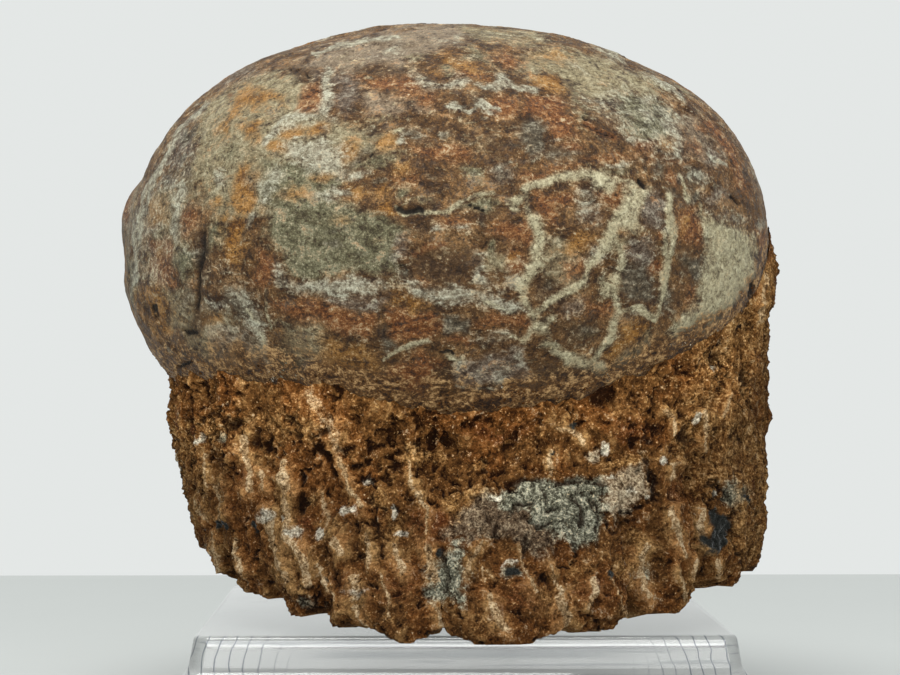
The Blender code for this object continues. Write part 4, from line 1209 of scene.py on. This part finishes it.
def makeBlock():
    values = blockValues
    angle = blockAngles()
    count = len(angle)
    edge, edgeHeight = blockEdge(angle)
    rows = values["sideRows"]
    up = np.repeat(np.linspace(0, 1, rows), count)
    side = sideSurface(np.tile(angle, rows), up, np.tile(edge, (rows, 1))).reshape(rows, count, 3)
    outer = np.concatenate((underRings(side[0], angle), side))

    # the block's face: lumps, pits, crumbs and the scores of a pointed tool
    normals = gridNormals(outer).reshape(-1, 3)
    points = outer.reshape(-1, 3)
    upAll = np.concatenate((np.zeros(len(points) - len(up)), up))
    above = points[:, 2] - standTop
    gap = np.tile(edgeHeight, len(outer)) - above
    place = FaceMap(points, normals)
    ridge, crest, pit, masks = stoneMarks(place)
    lumps, fine, holes, fissure = stoneRelief(points, gap, ridge, pit)
    fade = np.minimum(1, (1 - upAll) / 0.05)
    underFade = np.clip((np.hypot(points[:, 0], points[:, 1]) - values["flatRadius"] + 4) / 10, 0.15, 1)
    relief = values["lumpHeight"] * lumps + fine
    relief *= fade * underFade
    points = points + normals * relief[:, None]
    points[:, 2] = np.maximum(points[:, 2], standTop + values["restGap"])
    points = np.clip(points, *(np.array(cadBox) / mm + [[0.05], [-0.05]]))
    obj, allPoints = skinBlock(points.reshape(outer.shape), socketRings(edge, angle))

    # masks for its colours
    def store(name, given):
        padded = np.zeros(len(allPoints))
        padded[:len(given)] = given
        storeMask(obj, name, padded)

    hidden = 1 - place.seen
    crests = smooth(roughAt(points * (1, 1, 0.25), 3.0, 2, 61.0), 0.3, 0.7)
    # painted shade: the stone's tone follows its relief, darker where the face lies lower
    store("height", 0.55 + 0.45 * fine + 0.22 * values["lumpHeight"] * lumps)
    # painted light: where the stone under the shell's overhang is painted paler, less on the back and near
    # the top where it stands out
    store("underShellLight", smooth(gap, 25, 3) * (1 - 0.6 * hidden) * (1 - 0.55 * smooth(above, 45, 62)))
    # painted highlight: pale crests along the ridge tops
    store("ridge", 1.15 * crest + 0.6 * hidden * crests)
    # painted shade: holes, fissures and cracks are darkened where shade falls in them
    store("pit", np.maximum(np.maximum(pit, 0.75 * fissure), 0.65 * smooth(holes, 0.35, 0.9)))
    for number, (kind, amount) in enumerate(stoneElsewhere.items()):
        blotches = 0.25 + amount + 1.0 * roughAt(points, 9, 4, 50.0 + 5 * number)
        store(kind, masks[kind] + hidden * blotches)
    facing = FaceMap(allPoints, normalsOf(obj)).facing
    outside = np.zeros(len(allPoints))
    outside[:len(relief)] = upAll > 0.01
    storeMask(obj, "gritty", outside * (0.3 + 0.7 * smooth(facing, -0.1, 0.4)))
    return obj


# grains that lie on the stone and on the shell near it, sizes in millimetres
gritValues = {
    "crumbs": {"perSquareCentimetre": 30, "smallest": 0.35, "largest": 0.9, "seed": 7, "sides": 5},
    "grit": {"perSquareCentimetre": 120, "smallest": 0.22, "largest": 0.5, "seed": 19, "sides": 4},
}


def addSocket(tree, name, kind, default=None):
    item = tree.interface.new_socket(name, in_out="INPUT", socket_type=kind)
    if default is not None:
        item.default_value = default
    return item


def addNode(tree, kind, inputs=(), **settings):
    # inputs pairs a socket's name or number with a value or with another node's output
    made = tree.nodes.new(kind)
    for name, value in settings.items():
        setattr(made, name, value)
    for key, value in dict(inputs).items():
        if isinstance(value, bpy.types.NodeSocket):
            tree.links.new(value, made.inputs[key])
        else:
            made.inputs[key].default_value = value
    return made


def calculate(tree, operation, a, b=0.0):
    return addNode(tree, "ShaderNodeMath", {0: a, 1: b}, operation=operation).outputs[0]


def randomVector(tree, low, high, seed):
    sockets = {0: low, 1: high, "Seed": seed}
    return addNode(tree, "FunctionNodeRandomValue", sockets, data_type="FLOAT_VECTOR").outputs[0]


def makeGritTree(name):
    tree = bpy.data.node_groups.new(name, "GeometryNodeTree")
    addSocket(tree, "Geometry", "NodeSocketGeometry")
    addSocket(tree, "Density", "NodeSocketFloat", 500000.0)
    addSocket(tree, "Smallest", "NodeSocketFloat", 0.0003)
    addSocket(tree, "Largest", "NodeSocketFloat", 0.0008)
    addSocket(tree, "Seed", "NodeSocketInt", 0)
    addSocket(tree, "Sides", "NodeSocketInt", 4)
    addSocket(tree, "Finish", "NodeSocketMaterial")
    tree.interface.new_socket("Geometry", in_out="OUTPUT", socket_type="NodeSocketGeometry")
    given = tree.nodes.new("NodeGroupInput").outputs
    gritty = addNode(tree, "GeometryNodeInputNamedAttribute", {"Name": "gritty"}, data_type="FLOAT")
    scatter = addNode(tree, "GeometryNodeDistributePointsOnFaces", {
        "Mesh": given["Geometry"],
        "Selection": True,
        "Density": calculate(tree, "MULTIPLY", gritty.outputs[0], given["Density"]),
        "Seed": given["Seed"],
    })
    grain = addNode(tree, "GeometryNodeMeshUVSphere", {
        "Segments": given["Sides"],
        "Rings": calculate(tree, "DIVIDE", given["Sides"], 2.0),
        "Radius": 0.5,
    })
    size = randomVector(tree, (0.7, 0.7, 0.45), (1.3, 1.0, 0.9), 3)
    # small grains are far more common than large ones
    chance = addNode(tree, "FunctionNodeRandomValue", {"Seed": given["Seed"]}, data_type="FLOAT")
    rare = calculate(tree, "POWER", chance.outputs[1], 2.5)
    across = addNode(tree, "ShaderNodeMapRange", {0: rare, 3: given["Smallest"], 4: given["Largest"]})
    scaled = addNode(
        tree, "ShaderNodeVectorMath", {0: size, "Scale": across.outputs[0]}, operation="SCALE",
    )
    spin = randomVector(tree, (-0.5, -0.5, 0), (0.5, 0.5, 6.28), 11)
    turned = addNode(tree, "FunctionNodeRotateRotation", {
        "Rotation": scatter.outputs["Rotation"],
        "Rotate By": addNode(tree, "FunctionNodeEulerToRotation", {0: spin}).outputs[0],
    }, rotation_space="LOCAL")
    placed = addNode(tree, "GeometryNodeInstanceOnPoints", {
        "Points": scatter.outputs["Points"],
        "Instance": grain.outputs[0],
        "Rotation": turned.outputs[0],
        "Scale": scaled.outputs[0],
    })
    real = addNode(tree, "GeometryNodeRealizeInstances", {"Geometry": placed.outputs[0]})
    flat = addNode(tree, "GeometryNodeSetShadeSmooth", {
        "Geometry": real.outputs[0], "Shade Smooth": False,
    })
    finished = addNode(tree, "GeometryNodeSetMaterial", {
        "Geometry": flat.outputs[0], "Material": given["Finish"],
    })
    addNode(tree, "NodeGroupOutput", {"Geometry": finished.outputs[0]})
    return tree


def makeGrit(name, carriers, material):
    # grains over every carrier, where its "gritty" attribute lets them lie
    kind = gritValues[name]
    tree = makeGritTree(name)
    sockets = {item.name: item.identifier for item in tree.interface.items_tree if item.in_out == "INPUT"}
    bm = bmesh.new()
    for carrier in carriers:
        copy = bpy.data.objects.new("carrier", carrier.data.copy())
        bpy.context.scene.collection.objects.link(copy)
        modifier = copy.modifiers.new(name, "NODES")
        modifier.node_group = tree
        # density is per square metre
        modifier[sockets["Density"]] = kind["perSquareCentimetre"] * 10000.0
        modifier[sockets["Smallest"]] = kind["smallest"] * mm
        modifier[sockets["Largest"]] = kind["largest"] * mm
        modifier[sockets["Seed"]] = kind["seed"]
        modifier[sockets["Sides"]] = kind["sides"]
        modifier[sockets["Finish"]] = material
        graph = bpy.context.evaluated_depsgraph_get()
        mesh = bpy.data.meshes.new_from_object(copy.evaluated_get(graph), depsgraph=graph)
        bm.from_mesh(mesh)
        bpy.data.objects.remove(copy)
        bpy.data.meshes.remove(mesh)
    mesh = bpy.data.meshes.new("mudstone" + name.capitalize())
    bm.to_mesh(mesh)
    bm.free()
    grains = bpy.data.objects.new(mesh.name, mesh)
    bpy.context.scene.collection.objects.link(grains)
    return grains


# finishes

def newMaterial(name):
    material = bpy.data.materials.new(name)
    material.use_nodes = True
    tree = material.node_tree
    return material, tree, tree.nodes["Principled BSDF"]


def shaderNoise(tree, coordinates, size, detail=3.0, roughness=0.6, distortion=0.0):
    # size is the width of one blotch in millimetres
    made = addNode(tree, "ShaderNodeTexNoise", {
        "Vector": coordinates, "Scale": 1000 / size, "Detail": detail,
        "Roughness": roughness, "Distortion": distortion,
    })
    return made.outputs["Fac"]


def mapped(tree, coordinates, scale, rotation=(0, 0, 0)):
    # stretched and slanted coordinates, for layered noise
    sockets = {"Vector": coordinates, "Rotation": rotation, "Scale": scale}
    return addNode(tree, "ShaderNodeMapping", sockets).outputs[0]


def attribute(tree, name):
    return addNode(tree, "ShaderNodeAttribute", attribute_name=name).outputs["Fac"]


def blend(tree, *parts):
    # sum of values, each times its share
    total = 0.0
    for value, share in parts:
        total = calculate(tree, "ADD", calculate(tree, "MULTIPLY", value, share), total)
    return total


def remap(tree, value, fromLow, fromHigh, toLow=0.0, toHigh=1.0, kind="SMOOTHSTEP"):
    return addNode(tree, "ShaderNodeMapRange", {
        "Value": value, "From Min": fromLow, "From Max": fromHigh, "To Min": toLow, "To Max": toHigh,
    }, interpolation_type=kind).outputs[0]


def mixColour(tree, factor, first, second, kind="MIX"):
    # plain colours of three numbers are given their alpha here
    first, second = ((*c, 1) if isinstance(c, tuple) else c for c in (first, second))
    sockets = {0: factor, 6: first, 7: second}
    made = addNode(tree, "ShaderNodeMix", sockets, data_type="RGBA", blend_type=kind)
    return made.outputs[2]


def ramp(tree, value, *stops):
    made = addNode(tree, "ShaderNodeValToRGB", {"Fac": value})
    elements = made.color_ramp.elements
    while len(elements) < len(stops):
        elements.new(0.5)
    for element, (place, colour) in zip(elements, stops):
        element.position = place
        element.color = (*colour, 1)
    return made.outputs["Color"]


def tones(tree, value, colours, middle=0.5, spread=0.14):
    # dark, middle and light of one mineral, spread over a noise
    dark, medium, light = colours
    place = remap(tree, value, middle - spread, middle + spread, kind="LINEAR")
    return ramp(tree, place, (0.0, dark), (0.5, medium), (1.0, light))


def brokenMask(tree, name, softness, *grains, most=1.0):
    # an attribute whose edge is broken up by noise
    value = attribute(tree, name)
    for grain, amount in grains:
        centred = calculate(tree, "SUBTRACT", grain, 0.5)
        value = calculate(tree, "ADD", value, calculate(tree, "MULTIPLY", centred, amount))
    return remap(tree, value, 0.5 - softness, 0.5 + softness, 0, most)


def setRelief(tree, shader, height, distance, strength):
    # distance is in millimetres
    bump = addNode(tree, "ShaderNodeBump", {
        "Height": height, "Distance": distance / 1000, "Strength": strength,
    })
    tree.links.new(bump.outputs[0], shader.inputs["Normal"])


# dark, middle and light of each mineral in the shell
shellColours = {
    "brown": ((0.030, 0.013, 0.004), (0.092, 0.045, 0.015), (0.195, 0.115, 0.048)),
    "rose": ((0.130, 0.090, 0.056), (0.210, 0.163, 0.110), (0.310, 0.262, 0.190)),
    "khaki": ((0.105, 0.082, 0.042), (0.238, 0.200, 0.116), (0.385, 0.350, 0.230)),
    "green": ((0.050, 0.044, 0.021), (0.130, 0.122, 0.069), (0.275, 0.270, 0.178)),
    "purple": ((0.044, 0.027, 0.018), (0.128, 0.098, 0.072), (0.285, 0.258, 0.205)),
    "rust": ((0.042, 0.011, 0.003), (0.152, 0.054, 0.015), (0.302, 0.152, 0.060)),
    "orange": ((0.095, 0.038, 0.009), (0.236, 0.108, 0.022), (0.350, 0.195, 0.060)),
    "umber": ((0.016, 0.007, 0.002), (0.048, 0.024, 0.009), (0.120, 0.073, 0.034)),
    "slate": ((0.022, 0.017, 0.010), (0.070, 0.059, 0.039), (0.185, 0.168, 0.124)),
    "white": ((0.110, 0.080, 0.048), (0.280, 0.260, 0.190), (0.480, 0.480, 0.375)),
    "cream": ((0.215, 0.180, 0.104), (0.365, 0.330, 0.208), (0.510, 0.475, 0.320)),
    "dust": ((0.015, 0.005, 0.001), (0.118, 0.056, 0.018), (0.385, 0.240, 0.108)),
    # painted shade inside the open slits
    "slit": (0.006, 0.004, 0.003),
}


# half width of the noise over which a mineral runs from dark to light
shellSpread = {"rose": 0.125, "khaki": 0.125, "white": 0.125, "cream": 0.125, "dust": 0.08}


def mineral(tree, value, name):
    return tones(tree, value, shellColours[name], 0.5, shellSpread.get(name, 0.09))


def shellMaterial():
    c = shellColours
    material, tree, shader = newMaterial("fossil shell")
    coordinates = addNode(tree, "ShaderNodeTexCoord").outputs["Object"]
    layered = mapped(tree, coordinates, (1, 1, 1.4), (0, 0.5, 0))
    slanted = mapped(tree, coordinates, (0.8, 1, 1.6), (0.3, -0.9, 0))
    broad = shaderNoise(tree, coordinates, 8, 4, 0.6, 0.4)
    blotch = shaderNoise(tree, layered, 4.2, 5, 0.62, 0.7)
    cloud = shaderNoise(tree, slanted, 2.6, 5, 0.66, 1.0)
    speck = shaderNoise(tree, coordinates, 0.85, 4, 0.68, 0.3)
    grit = shaderNoise(tree, coordinates, 0.36, 3, 0.65)
    edges = ((broad, 0.4), (blotch, 0.85), (cloud, 0.85), (speck, 0.5), (grit, 0.25))
    fine = blend(tree, (cloud, 0.50), (speck, 0.32), (grit, 0.18))
    coarse = blend(tree, (blotch, 0.55), (speck, 0.28), (grit, 0.17))

    # broad fields: mineral, its grain, softness of its edge, most that it covers
    colour = mineral(tree, coarse, "brown")
    layers = (
        ("rose", coarse, 0.38, 0.9), ("khaki", fine, 0.38, 0.9), ("green", coarse, 0.36, 0.95),
        ("purple", fine, 0.36, 0.9), ("rust", fine, 0.36, 0.9), ("orange", coarse, 0.36, 0.95),
    )
    for name, value, softness, most in layers:
        mask = brokenMask(tree, name, softness, *edges, most=most)
        colour = mixColour(tree, mask, colour, mineral(tree, value, name))
    # thin veils of the same minerals run through one another
    veils = (
        ("khaki", blend(tree, (cloud, 0.6), (grit, 0.4)), 0.53, 0.64, 0.45),
        ("rust", blend(tree, (blotch, 0.5), (speck, 0.5)), 0.52, 0.64, 0.60),
        ("white", blend(tree, (broad, 0.35), (cloud, 0.35), (speck, 0.3)), 0.55, 0.64, 0.40),
        ("purple", blend(tree, (broad, 0.3), (speck, 0.4), (cloud, 0.3)), 0.47, 0.38, 0.45),
        ("umber", blend(tree, (cloud, 0.5), (speck, 0.5)), 0.44, 0.34, 0.75),
    )
    for name, value, low, high, most in veils:
        veil = remap(tree, value, low, high, 0, most)
        colour = mixColour(tree, veil, colour, mineral(tree, coarse, name))
    # dark patches, then pale crust and veins
    veinEdges = ((broad, 0.3), (blotch, 0.8), (cloud, 0.95), (speck, 0.75), (grit, 0.35))
    marks = (
        ("umber", 0.36, 0.9, edges), ("slate", 0.34, 0.85, edges),
        ("white", 0.38, 0.9, veinEdges), ("cream", 0.40, 0.86, veinEdges),
    )
    for name, softness, most, ragged in marks:
        mask = brokenMask(tree, name, softness, *ragged, most=most)
        colour = mixColour(tree, mask, colour, mineral(tree, fine, name))
    # small pale and dark specks over everything
    pale = blend(tree, (speck, 0.45), (grit, 0.55))
    colour = mixColour(tree, remap(tree, pale, 0.60, 0.68, 0, 0.45), colour, c["white"][2])
    dark = blend(tree, (shaderNoise(tree, layered, 0.5, 3, 0.6), 0.7), (cloud, 0.3))
    colour = mixColour(tree, remap(tree, dark, 0.43, 0.34, 0, 0.85), colour, c["umber"][0])
    dustEdges = ((broad, 0.8), (blotch, 1.3), (cloud, 1.3), (speck, 0.9), (grit, 0.5))
    dust = brokenMask(tree, "dust", 0.3, *dustEdges)
    colour = mixColour(tree, dust, colour, mineral(tree, fine, "dust"))
    grains = blend(tree, (grit, 0.5), (speck, 0.5))
    shade = ramp(tree, grains, (0.39, (0.74, 0.72, 0.69)), (0.61, (1.22, 1.22, 1.22)))
    colour = mixColour(tree, 1.0, colour, shade, "MULTIPLY")
    # painted shade: the open slits are coloured near black
    slit = brokenMask(tree, "slit", 0.28, (cloud, 0.7), (speck, 0.7), most=0.95)
    colour = mixColour(tree, slit, colour, c["slit"])
    tree.links.new(colour, shader.inputs["Base Color"])
    tree.links.new(remap(tree, speck, 0.35, 0.65, 0.45, 0.72), shader.inputs["Roughness"])
    relief = blend(tree, (cloud, 0.9), (speck, 0.6), (grit, 0.25))
    setRelief(tree, shader, relief, 0.9, 0.8)
    shader.inputs["Specular IOR Level"].default_value = 0.18
    return material


# dark, middle and light of each colour in the stone
stoneColours = {
    "face": ((0.012, 0.004, 0.001), (0.108, 0.048, 0.014), (0.305, 0.178, 0.070)),
    "warm": ((0.013, 0.004, 0.001), (0.122, 0.047, 0.012), (0.310, 0.160, 0.060)),
    "green": ((0.012, 0.010, 0.006), (0.128, 0.126, 0.090), (0.430, 0.430, 0.335)),
    "lilac": ((0.030, 0.018, 0.010), (0.115, 0.080, 0.050), (0.290, 0.245, 0.170)),
    "tan": ((0.060, 0.024, 0.006), (0.215, 0.112, 0.036), (0.400, 0.255, 0.112)),
    "pink": ((0.120, 0.072, 0.038), (0.310, 0.240, 0.155), (0.520, 0.465, 0.340)),
    "red": ((0.020, 0.004, 0.001), (0.078, 0.022, 0.007), (0.155, 0.056, 0.020)),
    # painted highlight along the ridge crests
    "ridge": ((0.140, 0.072, 0.026), (0.320, 0.212, 0.108), (0.520, 0.415, 0.270)),
    "white": ((0.220, 0.175, 0.115), (0.450, 0.415, 0.325), (0.700, 0.680, 0.590)),
    # painted shade, for holes, fissures and cracks
    "pit": (0.012, 0.004, 0.001),
    "black": (0.016, 0.017, 0.015),
}


def stoneMaterial():
    c = stoneColours
    material, tree, shader = newMaterial("red mudstone")
    coordinates = addNode(tree, "ShaderNodeTexCoord").outputs["Object"]
    broad = shaderNoise(tree, coordinates, 9, 4, 0.6, 0.4)
    blotch = shaderNoise(tree, coordinates, 3.0, 6, 0.68, 0.6)
    speck = shaderNoise(tree, coordinates, 1.0, 4, 0.7, 0.3)
    grit = shaderNoise(tree, coordinates, 0.42, 3, 0.65)
    edges = ((broad, 0.4), (blotch, 1.1), (speck, 1.1), (grit, 0.6))
    crisp = ((blotch, 0.6), (speck, 0.7), (grit, 0.3))
    height = attribute(tree, "height")
    fine = blend(tree, (blotch, 0.35), (speck, 0.35), (grit, 0.30))
    # painted shade: the plain stone is darker where its face lies lower, in its hollows and crevices
    value = blend(tree, (height, 0.52), (blotch, 0.18), (speck, 0.18), (grit, 0.14))
    colour = tones(tree, value, c["face"], 0.54, 0.20)
    warm = tones(tree, value, c["warm"], 0.54, 0.20)
    colour = mixColour(tree, remap(tree, broad, 0.46, 0.58), colour, warm)
    # colour, softness of its edge, most that it covers
    paints = (
        ("lilac", 0.36, 0.9), ("green", 0.34, 1.0), ("tan", 0.40, 0.85), ("red", 0.40, 0.8),
        # the ridge colour is a painted highlight on the crests
        ("pink", 0.36, 0.9), ("ridge", 0.24, 0.95), ("white", 0.22, 0.85),
    )
    for name, softness, most in paints:
        ragged = crisp if name in ("ridge", "white") else edges
        mask = brokenMask(tree, name, softness, *ragged, most=most)
        colour = mixColour(tree, mask, colour, tones(tree, fine, c[name], 0.5, 0.11))
    # scattered pale, rust and dark grains
    pale = blend(tree, (speck, 0.4), (grit, 0.6))
    colour = mixColour(tree, remap(tree, pale, 0.57, 0.67, 0, 0.7), colour, c["tan"][2])
    colour = mixColour(tree, remap(tree, pale, 0.64, 0.70, 0, 0.8), colour, c["white"][1])
    dark = blend(tree, (blotch, 0.5), (speck, 0.5))
    colour = mixColour(tree, remap(tree, dark, 0.44, 0.34, 0, 0.8), colour, c["face"][0])
    # painted shade: holes, fissures and cracks are coloured near black
    pit = brokenMask(tree, "pit", 0.36, (blotch, 1.6), (speck, 1.4), most=0.9)
    colour = mixColour(tree, pit, colour, c["pit"])
    black = brokenMask(tree, "black", 0.15, (blotch, 0.5), (speck, 0.5))
    colour = mixColour(tree, black, colour, c["black"])
    grains = blend(tree, (grit, 0.45), (speck, 0.4), (blotch, 0.15))
    shade = ramp(tree, grains, (0.40, (0.40, 0.38, 0.36)), (0.60, (1.50, 1.48, 1.46)))
    colour = mixColour(tree, 1.0, colour, shade, "MULTIPLY")
    # painted light: the band below the shell, shaded by the egg's overhang, is painted paler
    paintedLight = mixColour(tree, 1.0, colour, (2.3, 2.3, 2.25), "MULTIPLY")
    colour = mixColour(tree, attribute(tree, "underShellLight"), colour, paintedLight)
    tree.links.new(colour, shader.inputs["Base Color"])
    tree.links.new(remap(tree, black, 0, 1, 0.9, 0.25), shader.inputs["Roughness"])
    relief = blend(tree, (blotch, 0.6), (speck, 0.7), (grit, 0.35))
    setRelief(tree, shader, relief, 1.6, 1.0)
    shader.inputs["Specular IOR Level"].default_value = 0.06
    return material


# painted reflections drawn on the front of the stand, lengths in metres
acrylicValues = {
    "ior": 1.49,
    "clear": (0.985, 0.99, 0.985),
    "reflectionTint": (0.10, 0.13, 0.19),
    "arcSpacing": 0.0026,
    "arcLow": 0.012,        # the arcs bow outwards above this height
    "arcWander": 0.004,
    "streakHeight": 0.0167,
    "streakHalf": 0.0011,
}


def acrylicMaterial():
    values = acrylicValues
    material, tree, shader = newMaterial("clear acrylic")
    shader.inputs["Transmission Weight"].default_value = 0.9
    shader.inputs["IOR"].default_value = values["ior"]
    coordinates = addNode(tree, "ShaderNodeTexCoord").outputs["Object"]

    def maths(operation, a, b=0.0):
        return calculate(tree, operation, a, b)

    wear = shaderNoise(tree, coordinates, 14, 5, 0.7)
    tree.links.new(remap(tree, wear, 0.4, 0.75, 0.01, 0.09), shader.inputs["Roughness"])
    # painted reflections: faint lines along the front
    drawn = mapped(tree, coordinates, (0.02, 0.3, 1))
    lines = remap(tree, shaderNoise(tree, drawn, 1.1, 3, 0.6), 0.55, 0.62, 0, 0.45)
    # painted reflections: curved lines at its ends, images of its rounded corners
    place = addNode(tree, "ShaderNodeSeparateXYZ", {0: coordinates}).outputs
    outwards = maths("ABSOLUTE", place[0])
    rise = maths("MULTIPLY", maths("SUBTRACT", place[2], values["arcLow"]), 0.55)
    bowed = maths("ADD", outwards, maths("POWER", maths("MULTIPLY", rise, 11.0), 2.0))
    wander = maths("MULTIPLY", shaderNoise(tree, coordinates, 9, 2), values["arcWander"])
    turns = maths("FRACT", maths("DIVIDE", maths("ADD", bowed, wander), values["arcSpacing"]))
    wave = maths("ABSOLUTE", maths("SUBTRACT", turns, 0.5))
    ends = remap(tree, outwards, 0.024, 0.044, 0, 0.95)
    arcs = maths("MULTIPLY", remap(tree, wave, 0.075, 0.02), ends)
    # a painted reflection: a streak along the middle, strongest at its centre line
    off = maths("ABSOLUTE", maths("SUBTRACT", place[2], values["streakHeight"]))
    across = remap(tree, off, values["streakHalf"], 0.0002, 0, 0.5)
    streak = maths("MULTIPLY", across, remap(tree, outwards, 0.036, 0.018))
    front = remap(tree, place[1], -0.046, -0.049)
    marks = maths("MULTIPLY", maths("MAXIMUM", maths("MAXIMUM", lines, arcs), streak), front)
    colour = mixColour(tree, marks, values["clear"], values["reflectionTint"])
    tree.links.new(colour, shader.inputs["Base Color"])
    setRelief(tree, shader, shaderNoise(tree, coordinates, 22, 1), 0.2, 0.15)
    return material


# floor, light and camera

stageValues = {
    "floorBack": 292,
    "floorFront": -900,
    "floorHalf": 900,
    "floorColour": (0.43, 0.45, 0.442),
    "wallColour": (0.775, 0.80, 0.79),
    "lens": 94.5,
    "turn": 0.92,           # degrees to the right
    "tilt": 0.52,           # degrees up
    # place and target in metres, width, power, colour
    "lights": {
        "key": ((-0.12, -0.3, 1.0), (0, 0, 0.08), 0.6, 8.5, (1.0, 0.99, 0.97)),
        "front": ((0.12, -1.1, 0.3), (0, 0, 0.05), 0.9, 8.0, (1.0, 0.99, 0.98)),
    },
}


def makeFloor():
    half, front, back = (stageValues[k] for k in ("floorHalf", "floorFront", "floorBack"))
    points = ((-half, front, 0), (half, front, 0), (half, back, 0), (-half, back, 0))
    floor = meshFrom("tableTop", points, [(0, 1, 2, 3)], False)
    material, tree, shader = newMaterial("table top")
    coordinates = addNode(tree, "ShaderNodeTexCoord").outputs["Object"]
    cloud = shaderNoise(tree, coordinates, 120, 4)
    base = stageValues["floorColour"]
    colour = ramp(tree, cloud, (0.3, tuple(v * 0.97 for v in base)), (0.7, base))
    tree.links.new(colour, shader.inputs["Base Color"])
    shader.inputs["Roughness"].default_value = 0.5
    floor.data.materials.append(material)
    return floor


def addLight(name, place, target, size, power, colour):
    lamp = bpy.data.lights.new(name, "AREA")
    lamp.shape = "DISK"
    lamp.size = size
    lamp.energy = power
    lamp.color = colour
    obj = bpy.data.objects.new(name, lamp)
    bpy.context.scene.collection.objects.link(obj)
    obj.location = place
    obj.rotation_euler = (Vector(target) - Vector(place)).to_track_quat("-Z", "Y").to_euler()
    return obj


def makeStudio():
    scene = bpy.context.scene
    world = bpy.data.worlds.new("pale room")
    scene.world = world
    world.use_nodes = True
    background = world.node_tree.nodes["Background"]
    background.inputs["Color"].default_value = (*stageValues["wallColour"], 1)
    background.inputs["Strength"].default_value = 1.0
    for name, settings in stageValues["lights"].items():
        addLight(name, *settings)
    camera = bpy.data.cameras.new("camera")
    camera.lens = stageValues["lens"]
    camera.sensor_width = 36
    camera.clip_start = 0.01
    view = bpy.data.objects.new("camera", camera)
    scene.collection.objects.link(view)
    view.location = Vector(eyePlace.tolist()) * mm
    tilt = math.radians(90 + stageValues["tilt"])
    view.rotation_euler = (tilt, 0, -math.radians(stageValues["turn"]))
    scene.camera = view
    scene.view_settings.view_transform = "Standard"


def finishPiece(obj, material, node):
    obj.data.materials.clear()
    obj.data.materials.append(material)
    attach(obj, "root")
    if node:
        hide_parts(node)


eggPiece = makeEgg()
finishPiece(eggPiece, shellMaterial(), "egg")
print("egg:", len(eggPiece.data.polygons), "faces")
blockPiece = makeBlock()
stone = stoneMaterial()
finishPiece(blockPiece, stone, "matrix")
blockPiece.visible_glossy = False
print("mudstone block:", len(blockPiece.data.polygons), "faces")
for name in gritValues:
    grains = makeGrit(name, (blockPiece, eggPiece), stone)
    finishPiece(grains, stone, None)
    grains.visible_glossy = False
    print(name + ":", len(grains.data.polygons), "faces")
standPiece = makeStand()
finishPiece(standPiece, acrylicMaterial(), "stand")
print("stand:", len(standPiece.data.polygons), "faces")
makeFloor()
makeStudio()
print("floor, lights and camera")
